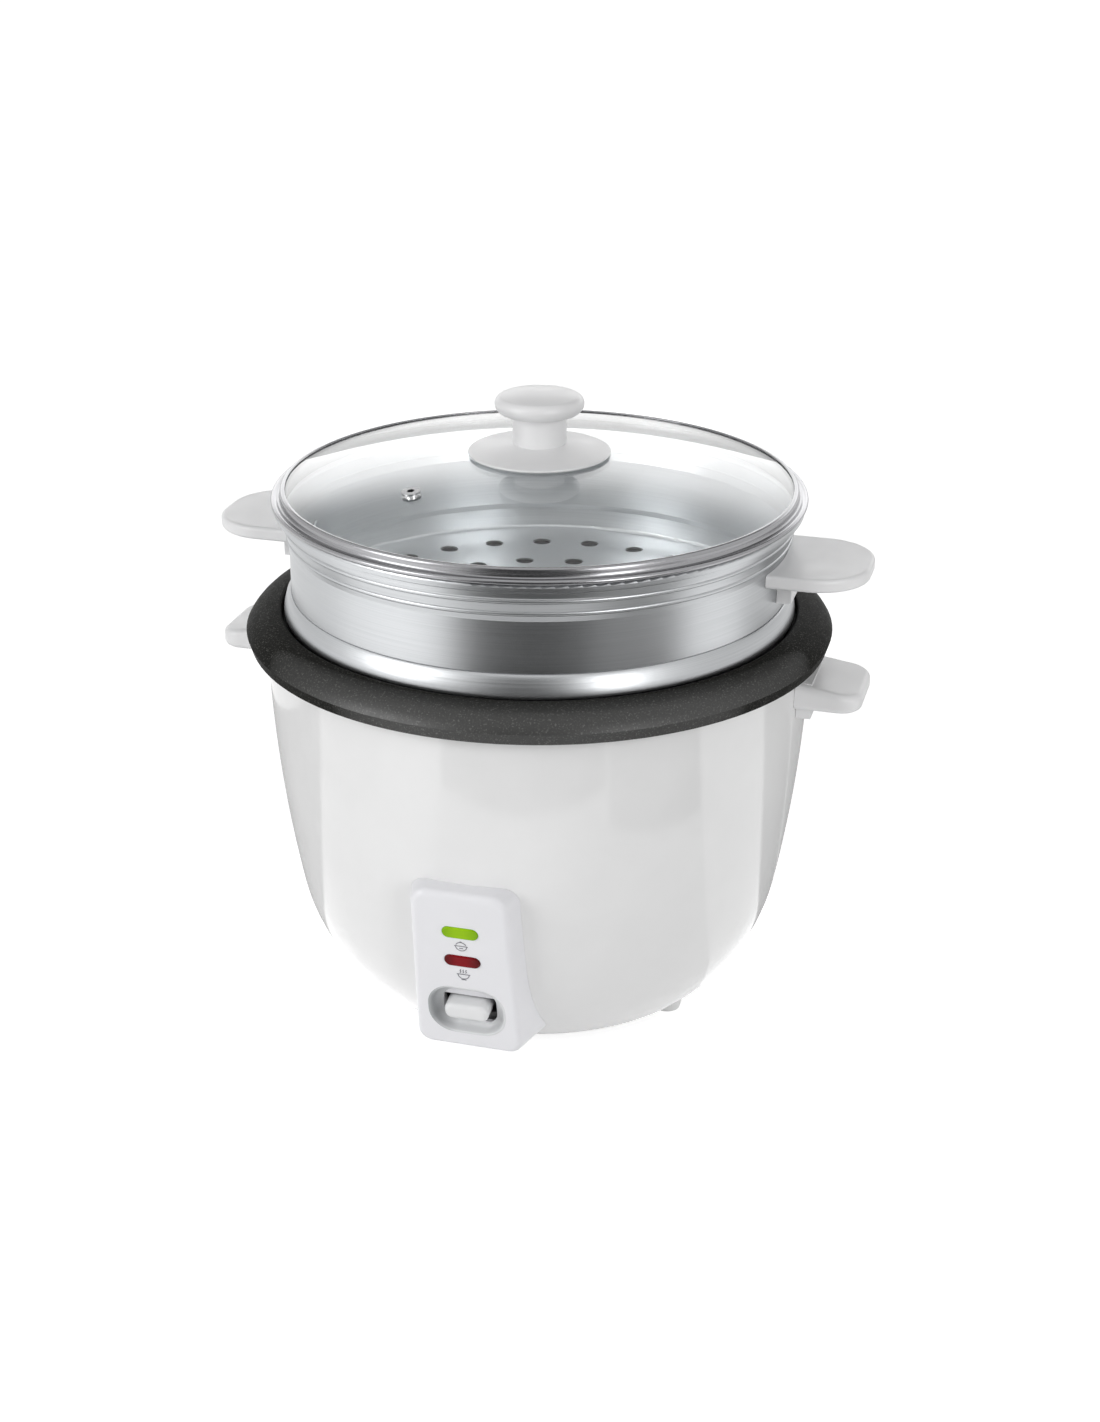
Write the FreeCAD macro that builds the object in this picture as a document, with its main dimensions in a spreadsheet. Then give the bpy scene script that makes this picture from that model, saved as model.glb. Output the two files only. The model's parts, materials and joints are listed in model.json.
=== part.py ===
import FreeCAD
import Part

import math
import operator
import os
from types import SimpleNamespace

import Sketcher

# Rice cooker with a lift-out pot, a steamer basket and a glass lid.
# Millimetres and degrees. +Z is up, the front is -Y, the handles are on X.
# The origin is on the surface that the feet stand on, below the middle of the drum.

Vector = FreeCAD.Vector
X_AXIS = Vector(1, 0, 0)
Y_AXIS = Vector(0, 1, 0)
Z_AXIS = Vector(0, 0, 1)
SMOOTH = None
QUARTER_TURN = 90
FULL_TURN = 360
NEAR = 0.01
BEND_SHARE = 0.45
MOSTLY = 0.9

# Driving dimensions: name, value and what it measures.
DIMENSIONS = [
    # Fits
    ("seat_gap", 0.2, "between a lift-off piece and what it rests on"),
    ("joint_gap", 0.1, "between two fixed pieces that fit together"),
    ("pin_fit", 0.03, "radial clearance of a pin in its hole"),
    ("slide_gap", 0.6, "around a piece that slides in a hole"),
    ("contact_gap", 0.4, "between two moving pieces that push each other"),
    # Inner pot
    ("pot_floor_radius", 76, "flat part of the pot's bottom"),
    ("pot_corner_radius", 26, "bend from the bottom to the wall"),
    ("pot_taper", 6.5, "angle of the wall from upright"),
    ("pot_height", 119.5, "bottom to the crest of the flange"),
    ("pot_wall", 1.6, "sheet of the pot"),
    ("pot_ledge_drop", 5.5, "crest of the flange to the steamer's ledge"),
    ("pot_ledge_width", 6.6, "ledge that the steamer stands on"),
    ("flange_overhang", 9.1, "flange beyond the casing"),
    ("flange_fall", 9, "crest of the flange to its widest line"),
    ("flange_lip", 5, "widest line of the flange to its lower edge"),
    ("flange_lip_inset", 1.6, "lower edge of the flange inside the widest line"),
    ("flange_arc", 17, "radius of the flange's rounded top"),
    ("flange_crown", 1.8, "bend from the pot's mouth to the flange"),
    # Liner and casing
    ("liner_gap", 4.2, "pot to liner"),
    ("liner_wall", 0.8, "sheet of the liner"),
    ("liner_floor_hole", 66, "radius of the opening in the liner's floor"),
    ("casing_gap", 7.3, "liner to casing at the top"),
    ("casing_wall", 1.6, "sheet of the casing"),
    ("casing_rim_drop", 7.2, "steamer's ledge to the top of the casing"),
    ("casing_side_arc", 650, "radius of the casing's upper side"),
    ("casing_belly_inset", 11.7, "casing at the belly inside its top"),
    ("casing_belly_height", 45.3, "belly above the base plate"),
    ("casing_foot_inset", 36.5, "casing at its foot inside its top"),
    ("casing_lip_width", 16, "flat lip under the casing"),
    # Base
    ("foot_height", 6.5, "feet below the base plate"),
    ("foot_radius", 7.5, "foot at its top"),
    ("foot_taper", 1.5, "foot at its bottom inside its top"),
    ("foot_inset", 10, "middle of a foot inside the casing's foot"),
    ("front_foot_angle", 66, "front feet from the front"),
    ("rear_foot_angle", 138, "rear feet from the front"),
    ("base_plate_thickness", 1.5, "base plate"),
    ("base_plate_inset", 2, "base plate inside the casing's foot"),
    ("mechanism_height", 35, "base plate to the liner's floor"),
    # Heating plate
    ("plate_radius", 82, "heating plate"),
    ("plate_thickness", 12, "heating plate"),
    ("plate_edge", 3, "bevel around the heating plate"),
    ("post_height", 10.2, "posts under the heating plate"),
    ("post_radius", 4.5, "posts under the heating plate"),
    ("element_ring_radius", 58, "middle line of the heating element"),
    ("element_radius", 4, "tube of the heating element"),
    ("element_depth", 2, "middle of the tube above the plate's underside"),
    ("element_gap_angle", 30, "opening of the ring at its terminals"),
    ("terminal_angle", 19, "terminals from the middle line at the rear"),
    ("terminal_radius", 1.8, "terminal of the heating element"),
    ("terminal_length", 12, "terminal below the tube's middle"),
    # Thermostat
    ("cap_radius", 19, "sensor cap"),
    ("cap_wall", 1, "sheet of the sensor cap"),
    ("cap_flange_width", 4, "flange at the foot of the sensor cap"),
    ("sensor_travel", 2.5, "how far the sensor cap is pressed down"),
    ("ferrite_radius", 13, "ferrite under the cap"),
    ("ferrite_thickness", 4, "ferrite under the cap"),
    ("magnet_radius", 8.5, "magnet"),
    ("magnet_thickness", 5, "magnet"),
    ("plunger_disc", 1, "thickness of the disc under the magnet"),
    ("rod_radius", 2.5, "plunger rod"),
    ("bracket_sheet", 1.2, "sheet of the thermostat bracket"),
    ("bracket_tab", 9, "tabs that hold the thermostat bracket"),
    ("sensor_wire", 0.6, "half of the sensor spring's wire"),
    ("plunger_wire", 0.4, "half of the plunger spring's wire"),
    ("sensor_turns", 3, "turns of the sensor spring"),
    ("plunger_turns", 4, "turns of the plunger spring"),
    # Switch
    ("press_angle", 3.3, "turn of the lever when the paddle is pressed"),
    ("lever_front", 75, "pivot to the middle of the paddle"),
    ("lever_tail", 9, "lever behind the plunger"),
    ("lever_width", 12, "lever"),
    ("lever_sheet", 1.5, "lever"),
    ("pivot_drop", 4.5, "pivot below the lever's upper face"),
    ("pin_radius", 2, "lever pin"),
    ("ear_sheet", 1.6, "ears of the lever bracket"),
    ("ear_half_width", 5, "half of an ear's width"),
    ("contact_width", 6, "contact leaves"),
    ("leaf_sheet", 0.5, "contact leaves"),
    ("leaf_arm", 20.5, "contact's root to the lever's middle line"),
    ("leaf_ratio", 2.5, "turn of the moving leaf for a turn of the lever"),
    ("rivet_radius", 1.5, "contact rivets"),
    ("rivet_height", 1, "contact rivets"),
    ("block_length", 9, "contact block along X"),
    ("block_width", 14, "contact block along Y"),
    ("contact_reach", 35, "contact ahead of the pivot"),
    # Control panel
    ("panel_stand", 25, "foot of the panel's face ahead of the casing's foot"),
    ("panel_rise", 5.5, "foot of the panel's face above the base plate"),
    ("panel_height", 86.5, "panel's face"),
    ("panel_lean", 10.66, "panel's face from upright"),
    ("panel_half_top", 21, "half of the face's width at its top"),
    ("panel_half_bottom", 24, "half of the face's width at its bottom"),
    ("panel_depth", 27, "face to the back of the untrimmed panel"),
    ("panel_draft", 16, "flare of the panel's sides"),
    ("panel_fall", 4, "back of the panel below the face"),
    ("panel_corner", 7, "rounded corners of the panel"),
    ("panel_edge", 3, "rounded edge of the panel's face"),
    ("panel_wall", 2.4, "panel"),
    ("lamp_drop", 20.8, "upper lamp below the top of the face"),
    ("lamp_pitch", 15.6, "lower lamp below the upper one"),
    ("lens_width", 16.5, "lens"),
    ("lens_height", 6, "lens"),
    ("lens_proud", 0.7, "lens above the panel's face"),
    ("lens_round", 0.63, "front edge of a lens"),
    ("lens_rim", 1.2, "rim behind the panel's wall"),
    ("recess_width", 34, "switch recess"),
    ("recess_height", 25, "switch recess"),
    ("recess_depth", 5, "switch recess"),
    ("recess_corner", 11, "switch recess"),
    ("recess_wall", 1.8, "switch recess"),
    ("paddle_rise", 21.6, "middle of the paddle above the foot of the face"),
    ("paddle_width", 20, "paddle"),
    ("paddle_height", 8.4, "paddle"),
    ("paddle_reach", 2.2, "paddle ahead of the panel's face"),
    ("paddle_corner", 2.6, "rounded edges of the paddle"),
    ("paddle_side_gap", 2.2, "paddle to the sides of its window"),
    ("paddle_shank", 9, "paddle behind the recess's floor"),
    ("board_depth", 14, "lamp board behind the panel's face"),
    ("board_sheet", 1.6, "lamp board"),
    ("board_half_width", 13, "half of the lamp board"),
    ("board_margin", 6, "lamp board beyond the lamps"),
    ("peg_radius", 2.2, "pegs that carry the lamp board"),
    ("bulb_radius", 2.4, "lamps"),
    ("panel_screw_half_pitch", 12, "panel screws from the middle"),
    ("panel_screw_drop", 8, "panel screws below the top of the face"),
    ("boss_radius", 3.6, "bosses for the panel screws"),
    # Body handles
    ("handle_reach", 27, "handle beyond the casing"),
    ("handle_width", 42, "handle"),
    ("handle_thickness", 12, "handle"),
    ("handle_fall", 3.8, "handle's upper face at its tip below its root"),
    ("handle_drop", 8.4, "handle's upper face below the top of the casing"),
    ("handle_corner", 10, "rounded end of the handle"),
    ("handle_edge", 3, "rounded edges of the handle"),
    ("handle_pad_reach", 5, "handle's pad beyond the casing"),
    ("handle_pad_width", 34, "handle's pad"),
    ("handle_pad_drop", 5, "handle's pad below the handle"),
    ("handle_root", 22, "handle inside the casing's line before it is trimmed"),
    ("handle_screw_half_pitch", 9, "handle screws from the middle"),
    # Power inlet
    ("inlet_height", 18, "middle of the inlet above the base plate"),
    ("inlet_reach", 24, "inlet's face ahead of the casing's foot"),
    ("inlet_width", 36, "inlet's block"),
    ("inlet_tall", 27, "inlet's block"),
    ("inlet_corner", 4, "inlet's block"),
    ("socket_width", 24, "inlet's socket"),
    ("socket_tall", 16, "inlet's socket"),
    ("socket_depth", 16, "inlet's socket"),
    ("inlet_wall", 2.2, "inlet's inner wall"),
    ("blade_width", 2, "pins across"),
    ("blade_tall", 4, "pins up"),
    ("blade_length", 12.5, "pins in the socket"),
    ("blade_tail", 5, "pins behind the socket"),
    ("blade_spread", 7, "outer pins from the middle"),
    ("blade_low", 2, "outer pins below the middle"),
    ("blade_high", 4.5, "middle pin above the middle"),
    # Steamer
    ("steamer_clearance", 2.2, "steamer inside the pot's mouth"),
    ("steamer_wall", 0.9, "sheet of the steamer"),
    ("steamer_height", 55.4, "steamer"),
    ("steamer_corner", 2.5, "bend at the steamer's floor"),
    ("band_height", 10.5, "lower band of the steamer"),
    ("band_inset", 2.4, "steamer's wall inside the lower band"),
    ("band_slope", 3.3, "height of the slope above the lower band"),
    ("shoulder_height", 37.4, "steamer's shoulder above its floor"),
    ("shoulder_slope", 11, "height of the shoulder's slope"),
    ("mouth_outset", 2.7, "steamer's mouth outside its wall"),
    ("bead_outset", 3.4, "steamer's bead outside its mouth"),
    ("bead_height", 3, "steamer's bead"),
    ("bead_slope", 1.8, "height of the slope under the bead"),
    ("bead_radius", 1.4, "rounding of the bead"),
    ("hole_radius", 4.3, "steam holes"),
    ("outer_ring_radius", 90.5, "outer ring of steam holes"),
    ("middle_ring_radius", 60.5, "middle ring of steam holes"),
    ("inner_ring_radius", 31, "inner ring of steam holes"),
    ("outer_ring_count", 24, "outer ring of steam holes"),
    ("middle_ring_count", 16, "middle ring of steam holes"),
    ("inner_ring_count", 8, "inner ring of steam holes"),
    ("tab_reach", 38.4, "steamer's handle beyond its wall"),
    ("tab_width", 58, "steamer's handle"),
    ("tab_corner", 24, "rounded end of the steamer's handle"),
    ("tab_thickness", 6.2, "steamer's handle"),
    ("tab_edge", 1.8, "rounded edges of the steamer's handle"),
    ("tab_leg_drop", 11, "leg of the handle below its underside"),
    ("tab_leg_reach", 5.5, "leg of the handle beyond the wall"),
    ("tab_leg_half", 15, "half of the leg's width"),
    ("tab_root", 12, "handle inside the wall's line before it is trimmed"),
    ("rivet_half_pitch", 8, "steamer's rivets from the middle"),
    ("rivet_rise", 5.5, "steamer's rivets above the foot of the leg"),
    ("rivet_shank", 1.5, "steamer's rivets"),
    ("rivet_head", 3, "steamer's rivets"),
    ("rivet_head_height", 1, "steamer's rivets"),
    ("rivet_bite", 3.5, "rivet's shank inside the leg"),
    # Lid
    ("lid_fit", 0.8, "lid's lip inside the steamer's mouth"),
    ("rim_sheet", 0.9, "sheet of the lid's rim"),
    ("rim_flange_outset", 1.3, "lid's rim outside the steamer's bead"),
    ("rim_flange_height", 1.9, "edge of the lid's rim"),
    ("rim_edge", 0.8, "rounding of the rim's edge"),
    ("rim_lip_drop", 5.5, "lid's lip below its seat"),
    ("rim_leg_width", 4, "rim over the edge of the glass"),
    ("glass_bearing", 1.8, "glass on the rim"),
    ("glass_thickness", 4, "glass"),
    ("glass_rise", 14.5, "glass's dome"),
    ("knob_hole", 4.5, "hole in the middle of the glass"),
    ("vent_distance", 70, "vent from the middle"),
    ("vent_bearing", 234, "vent's direction from +X"),
    ("vent_bore", 1.6, "vent's bore"),
    ("vent_tube", 2.6, "vent's tube"),
    ("vent_flange", 4.2, "vent's flange"),
    ("vent_sheet", 0.8, "vent's flange"),
    ("gasket_thickness", 0.8, "gasket under the knob"),
    ("gasket_radius", 13, "gasket under the knob"),
    ("skirt_radius", 31.8, "knob's skirt"),
    ("skirt_edge", 1.3, "knob's skirt at its edge"),
    ("skirt_height", 3.4, "knob's skirt at its middle"),
    ("skirt_lift", 0.5, "edge of the skirt above the glass"),
    ("stem_radius", 12, "knob's stem"),
    ("stem_height", 13.5, "knob's stem"),
    ("knob_radius", 19.9, "knob"),
    ("knob_under", 4.4, "round edge of the knob's underside"),
    ("knob_shoulder", 3.6, "round edge of the knob's top"),
    ("knob_crown", 1.4, "rise of the knob's top"),
    ("screw_radius", 2.5, "knob screw"),
    ("screw_head", 4.6, "knob screw"),
    ("screw_head_height", 2.4, "knob screw"),
    ("screw_bite", 14, "knob screw inside the knob"),
    ("washer_radius", 9, "knob washer"),
    ("washer_thickness", 1.2, "knob washer"),
    # Small screws
    ("small_shank", 1.8, "small screws"),
    ("small_head", 3.4, "small screws"),
    ("small_head_height", 2, "small screws"),
    ("small_bite", 6, "small screws inside what they hold"),
    # Wiring
    ("wire_radius", 1.2, "insulated wire"),
    ("fuse_radius", 2.6, "thermal fuse in its sleeve"),
    ("fuse_length", 20, "thermal fuse in its sleeve"),
    ("resistor_side", 8, "keep-warm resistor"),
    ("resistor_length", 26, "keep-warm resistor"),
    ("underside_spread", 41, "fuse and resistor from the middle"),
]

OPERATIONS = {
    "+": operator.add,
    "-": operator.sub,
    "*": operator.mul,
    "/": operator.truediv,
}


class Size:
    """A length or an angle: its number, and the sheet's formula for it."""

    def __init__(self, value, formula):
        self.value = value
        self.formula = formula

    def __add__(self, other):
        return combine(self, "+", other)

    def __radd__(self, other):
        return combine(other, "+", self)

    def __sub__(self, other):
        return combine(self, "-", other)

    def __rsub__(self, other):
        return combine(other, "-", self)

    def __mul__(self, other):
        return combine(self, "*", other)

    def __rmul__(self, other):
        return combine(other, "*", self)

    def __truediv__(self, other):
        return combine(self, "/", other)

    def __neg__(self):
        return combine(0, "-", self)


def as_size(item):
    if isinstance(item, Size):
        return item
    return Size(float(item), repr(float(item)))


def combine(left, sign, right):
    left = as_size(left)
    right = as_size(right)
    value = OPERATIONS[sign](left.value, right.value)
    return Size(value, f"({left.formula} {sign} {right.formula})")


def sine(angle):
    angle = as_size(angle)
    return Size(math.sin(math.radians(angle.value)), f"sin({angle.formula})")


def cosine(angle):
    angle = as_size(angle)
    return Size(math.cos(math.radians(angle.value)), f"cos({angle.formula})")


def slope(angle):
    return sine(angle) / cosine(angle)


def root(square):
    return Size(math.sqrt(square.value), f"sqrt({square.formula})")


def arcsine(ratio):
    return Size(math.degrees(math.asin(ratio.value)), f"asin({ratio.formula})")


doc = FreeCAD.newDocument("rice_cooker")
sheet = doc.addObject("Spreadsheet::Sheet", "Sizes")
for row, (size_name, number, meaning) in enumerate(DIMENSIONS, start=1):
    sheet.set(f"A{row}", size_name)
    sheet.set(f"B{row}", str(number))
    sheet.set(f"C{row}", meaning)
    sheet.setAlias(f"B{row}", size_name)
doc.recompute()
D = SimpleNamespace(**{name: Size(float(number), f"Sizes.{name}") for name, number, _ in DIMENSIONS})

finished = []


def finish(item):
    """Keep an object as one of the finished pieces."""
    finished.append(item)
    return item


def add(kind, label):
    item = doc.addObject(kind, label)
    item.Label = label
    return item


def bind(item, path, size):
    item.setExpression(path, as_size(size).formula)


def place(item, x=0, y=0, z=0, axis=Z_AXIS, angle=0):
    """Put an object at a point, turned about an axis."""
    spot = [as_size(x), as_size(y), as_size(z)]
    turn = as_size(angle)
    position = Vector(*[size.value for size in spot])
    item.Placement = FreeCAD.Placement(position, FreeCAD.Rotation(axis, turn.value))
    for name, size in zip("xyz", spot):
        bind(item, f"Placement.Base.{name}", size)
    if isinstance(angle, Size):
        bind(item, "Placement.Rotation.Angle", turn)
    return item


def sketch_on(body, plane, offset=0):
    """A sketch on one of the body's own planes, moved along the plane's normal."""
    sketch = body.newObject("Sketcher::SketchObject", f"{body.Name}_sketch")
    support = next(item for item in body.Origin.OriginFeatures if item.Role == plane)
    sketch.AttachmentSupport = [(support, "")]
    sketch.MapMode = "FlatFace"
    distance = as_size(offset)
    sketch.AttachmentOffset = FreeCAD.Placement(Vector(0, 0, distance.value), FreeCAD.Rotation())
    bind(sketch, "AttachmentOffset.Base.z", distance)
    return sketch


def pin(sketch, piece, end, x, y):
    """Tie one point of a sketch to its place."""
    for size, kind, axis in ((x, "DistanceX", -2), (y, "DistanceY", -1)):
        if isinstance(size, Size):
            rule = Sketcher.Constraint(kind, -1, 1, piece, end, size.value)
            index = sketch.addConstraint(rule)
            bind(sketch, f"Constraints[{index}]", size)
        else:
            sketch.addConstraint(Sketcher.Constraint("PointOnObject", piece, end, axis))


def arc_between(start, end, radius):
    """The short arc from start to end. It turns left where the radius is positive."""
    chord = end - start
    half = chord.Length / 2
    reach = math.sqrt(max(radius * radius - half * half, 0))
    left = Vector(-chord.y, chord.x, 0).normalize()
    centre = (start + end) * 0.5 + left * math.copysign(reach, radius)
    angles = [math.atan2(point.y - centre.y, point.x - centre.x) for point in (start, end)]
    circle = Part.Circle(centre, Z_AXIS, abs(radius))
    if radius < 0:
        angles.reverse()
    arc = Part.ArcOfCircle(circle, angles[0], angles[1])
    spoke = end - centre
    turn = math.copysign(1, radius)
    heading = Vector(-spoke.y * turn, spoke.x * turn, 0).normalize()
    return arc, heading


def draw(sketch, *corners):
    """Draw a closed outline. A corner is (x, y), with a radius after them where an arc leads to it.

    A positive radius turns left. SMOOTH in its place is an arc that carries on from what is before it.
    """
    first = sketch.GeometryCount
    ends = []
    heading = None
    for index, corner in enumerate(corners):
        target = corners[(index + 1) % len(corners)]
        start = Vector(as_size(corner[0]).value, as_size(corner[1]).value, 0)
        end = Vector(as_size(target[0]).value, as_size(target[1]).value, 0)
        piece = first + index
        smooth = False
        if len(target) == 2:
            sketch.addGeometry(Part.LineSegment(start, end), False)
            heading = (end - start).normalize()
            ends.append((1, 2))
        else:
            smooth = target[2] is SMOOTH
            if smooth:
                chord = end - start
                radius = chord.Length ** 2 / (2 * (heading.x * chord.y - heading.y * chord.x))
            else:
                radius = as_size(target[2]).value
            arc, heading = arc_between(start, end, radius)
            sketch.addGeometry(arc, False)
            ends.append((1, 2) if radius > 0 else (2, 1))
        if index > 0:
            kind = "Tangent" if smooth else "Coincident"
            sketch.addConstraint(
                Sketcher.Constraint(kind, piece - 1, ends[index - 1][1], piece, ends[index][0])
            )
        pin(sketch, piece, ends[index][0], corner[0], corner[1])
        if len(target) == 3 and not smooth:
            rule = sketch.addConstraint(Sketcher.Constraint("Radius", piece, abs(radius)))
            size = as_size(target[2])
            bind(sketch, f"Constraints[{rule}]", size if radius > 0 else -size)
    last = first + len(corners) - 1
    sketch.addConstraint(Sketcher.Constraint("Coincident", last, ends[-1][1], first, ends[0][0]))


def draw_circle(sketch, x, y, radius):
    centre = Vector(as_size(x).value, as_size(y).value, 0)
    piece = sketch.addGeometry(Part.Circle(centre, Z_AXIS, as_size(radius).value), False)
    pin(sketch, piece, 3, x, y)
    rule = sketch.addConstraint(Sketcher.Constraint("Radius", piece, as_size(radius).value))
    bind(sketch, f"Constraints[{rule}]", radius)


def rounded_box(half_width, low, high, corner):
    """Corners of a box outline about the middle line, with rounded corners, anticlockwise."""
    return [
        (half_width - corner, low),
        (half_width, low + corner, corner),
        (half_width, high - corner),
        (half_width - corner, high, corner),
        (corner - half_width, high),
        (-half_width, high - corner, corner),
        (-half_width, low + corner),
        (corner - half_width, low, corner),
    ]


def pill(half_width, middle, radius):
    """Corners of a bar with round ends about the middle line, anticlockwise."""
    return [
        (half_width - radius, middle - radius),
        (half_width, middle, radius),
        (half_width - radius, middle + radius, radius),
        (radius - half_width, middle + radius),
        (-half_width, middle, radius),
        (radius - half_width, middle - radius, radius),
    ]


def tab(start, tip, half_width, corner):
    """Corners of a flat handle that runs along X to a rounded end, anticlockwise."""
    return [
        (start, -half_width),
        (tip - corner, -half_width),
        (tip, corner - half_width, corner),
        (tip, half_width - corner),
        (tip - corner, half_width, corner),
        (start, half_width),
    ]


def outline(sketch, shape):
    """Draw a list of corners, or a circle given as (x, y, radius)."""
    if isinstance(shape, tuple):
        draw_circle(sketch, *shape)
    else:
        draw(sketch, *shape)


def lathe(label, *corners):
    """A body turned about Z. The corners are (radius, height)."""
    body = add("PartDesign::Body", label)
    sketch = sketch_on(body, "XZ_Plane")
    draw(sketch, *corners)
    turned = body.newObject("PartDesign::Revolution", f"{label}_turned")
    turned.Profile = sketch
    turned.ReferenceAxis = (sketch, ["V_Axis"])
    turned.Angle = FULL_TURN
    return body


def pad(body, plane, start, length, *shapes, back=False):
    """Thicken outlines along the plane's normal, or against it."""
    sketch = sketch_on(body, plane, start)
    for shape in shapes:
        outline(sketch, shape)
    padded = body.newObject("PartDesign::Pad", f"{body.Name}_pad")
    padded.Profile = sketch
    padded.Reversed = back
    bind(padded, "Length", length)
    return padded


def pocket(body, plane, start, depth, *shapes):
    """Sink outlines against the plane's normal. They have to take material away."""
    doc.recompute()
    before = body.Shape.Volume
    sketch = sketch_on(body, plane, start)
    for shape in shapes:
        outline(sketch, shape)
    sunk = body.newObject("PartDesign::Pocket", f"{body.Name}_pocket")
    sunk.Profile = sketch
    bind(sunk, "Length", depth)
    doc.recompute()
    if not body.Shape.Volume < before:
        raise RuntimeError(f"a pocket of {body.Label} cuts nothing")
    return sunk


def ring_of(body, feature, count):
    """Repeat a pocket around Z."""
    pattern = body.newObject("PartDesign::PolarPattern", f"{feature.Name}_ring")
    pattern.Originals = [feature]
    pattern.Axis = (feature.Profile[0], ["N_Axis"])
    pattern.Angle = FULL_TURN
    bind(pattern, "Occurrences", count)
    body.Tip = pattern
    return pattern


def round_edges(body, radius, wanted):
    """Round the edges of a body that the test picks."""
    doc.recompute()
    base = body.Tip
    names = [f"Edge{number}" for number, edge in enumerate(base.Shape.Edges, 1) if wanted(edge)]
    fillet = body.newObject("PartDesign::Fillet", f"{body.Name}_round")
    fillet.Base = (base, names)
    bind(fillet, "Radius", radius)
    return fillet


def edges_ahead_of(front):
    """A test for the edges that lie in a plane across Y, or before it."""
    return lambda edge: edge.BoundBox.YMax < front.value + NEAR


def level_edges_beyond(line):
    """A test for the edges that reach beyond a line along X and aren't upright."""
    def wanted(edge):
        extent = edge.BoundBox
        return extent.XMax > line.value + NEAR and extent.XLength + extent.YLength > NEAR

    return wanted


def cylinder(label, radius, length, x=0, y=0, z=0, axis=Z_AXIS, angle=0):
    item = add("Part::Cylinder", label)
    bind(item, "Radius", radius)
    bind(item, "Height", length)
    return place(item, x, y, z, axis, angle)


def box(label, x_span, y_span, z_span):
    """A box between two planes in each direction."""
    item = add("Part::Box", label)
    for path, (low, high) in zip(("Length", "Width", "Height"), (x_span, y_span, z_span)):
        bind(item, path, as_size(high) - low)
    return place(item, x_span[0], y_span[0], z_span[0])


def fuse(label, *items):
    item = add("Part::MultiFuse", label)
    item.Shapes = list(items)
    item.Refine = True
    return item


def cut(label, base, *tools):
    item = add("Part::Cut", label)
    item.Base = base
    item.Tool = tools[0] if len(tools) == 1 else fuse(f"{label}_cutters", *tools)
    return item


def group(label, *items):
    item = add("Part::Compound", label)
    item.Links = list(items)
    return item


def shape_piece(label, shape):
    item = add("Part::Feature", label)
    item.Shape = shape
    return item


def coil(label, radius, wire, bottom, top, turns):
    """A spring of round wire: a rising line of half-turn arcs."""
    low = (bottom + wire).value
    rise = (top - wire).value - low
    halves = 2 * int(turns.value)
    points = []
    for step in range(2 * halves + 1):
        turn = math.pi * step / 2
        height = low + rise * step / (2 * halves)
        points.append(Vector(radius.value * math.cos(turn), radius.value * math.sin(turn), height))
    arcs = [Part.Arc(*points[2 * half:2 * half + 3]).toShape() for half in range(halves)]
    path = Part.Wire(arcs)
    section = Part.Wire(Part.makeCircle(wire.value, points[0], arcs[0].tangentAt(arcs[0].FirstParameter)))
    gap = rise / turns.value - 2 * wire.value
    print(f"{label}: least gap between turns {gap:.2f} mm")
    return shape_piece(label, path.makePipeShell([section], True, False))


def wire_run(label, points):
    """A wire through hand-chosen points: straight runs joined by tangent arcs."""
    spots = [Vector(*[as_size(size).value for size in point]) for point in points]
    edges = []
    start = spots[0]
    radii = []
    for before, corner, after in zip(spots, spots[1:], spots[2:]):
        into = (corner - before).normalize()
        out = (after - corner).normalize()
        trim = BEND_SHARE * min((corner - before).Length, (after - corner).Length)
        bend = into.getAngle(out)
        radii.append(trim / math.tan(bend / 2))
        first = corner - into * trim
        last = corner + out * trim
        inward = (out - into).normalize()
        middle = corner + inward * (radii[-1] / math.cos(bend / 2) - radii[-1])
        edges.append(Part.LineSegment(start, first).toShape())
        edges.append(Part.Arc(first, middle, last).toShape())
        start = last
    edges.append(Part.LineSegment(start, spots[-1]).toShape())
    path = Part.Wire(edges)
    section = Part.Wire(Part.makeCircle(D.wire_radius.value, spots[0], spots[1] - spots[0]))
    solid = path.makePipeShell([section], True, False)
    expected = math.pi * D.wire_radius.value ** 2 * path.Length
    print(f"{label}: bend radii {[round(radius, 1) for radius in radii]}, "
          f"volume over section times length {solid.Volume / expected:.4f}")
    return finish(shape_piece(label, solid))


def fastener(label, spot, axis, angle, shank, head, head_height, length):
    """A screw or rivet with its head's seat at a spot. Its shank runs along +Z before it is turned."""
    body = lathe(
        label,
        (0, -head_height),
        (head, -head_height),
        (head, 0),
        (shank, 0),
        (shank, length),
        (0, length),
    )
    return place(body, *spot, axis, angle)


def small_screw(label, spot, axis, angle, length):
    return fastener(label, spot, axis, angle, D.small_shank, D.small_head, D.small_head_height, length)


def bore(label, spot, axis, angle, radius, length):
    """The hole for a fastener: a cylinder that starts at the fastener's seat."""
    return cylinder(label, radius, length, *spot, axis, angle)


# Heights, from the surface up
base_low = D.foot_height
base_top = base_low + D.base_plate_thickness
liner_floor = base_top + D.mechanism_height
plate_low = liner_floor + D.liner_wall + D.post_height
plate_top = plate_low + D.plate_thickness
pot_low = plate_top + D.seat_gap
crest = pot_low + D.pot_height
ledge = crest - D.pot_ledge_drop
casing_top = ledge - D.casing_rim_drop
steamer_low = ledge + D.seat_gap
steamer_top = steamer_low + D.steamer_height
rim_low = steamer_top + D.seat_gap

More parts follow.
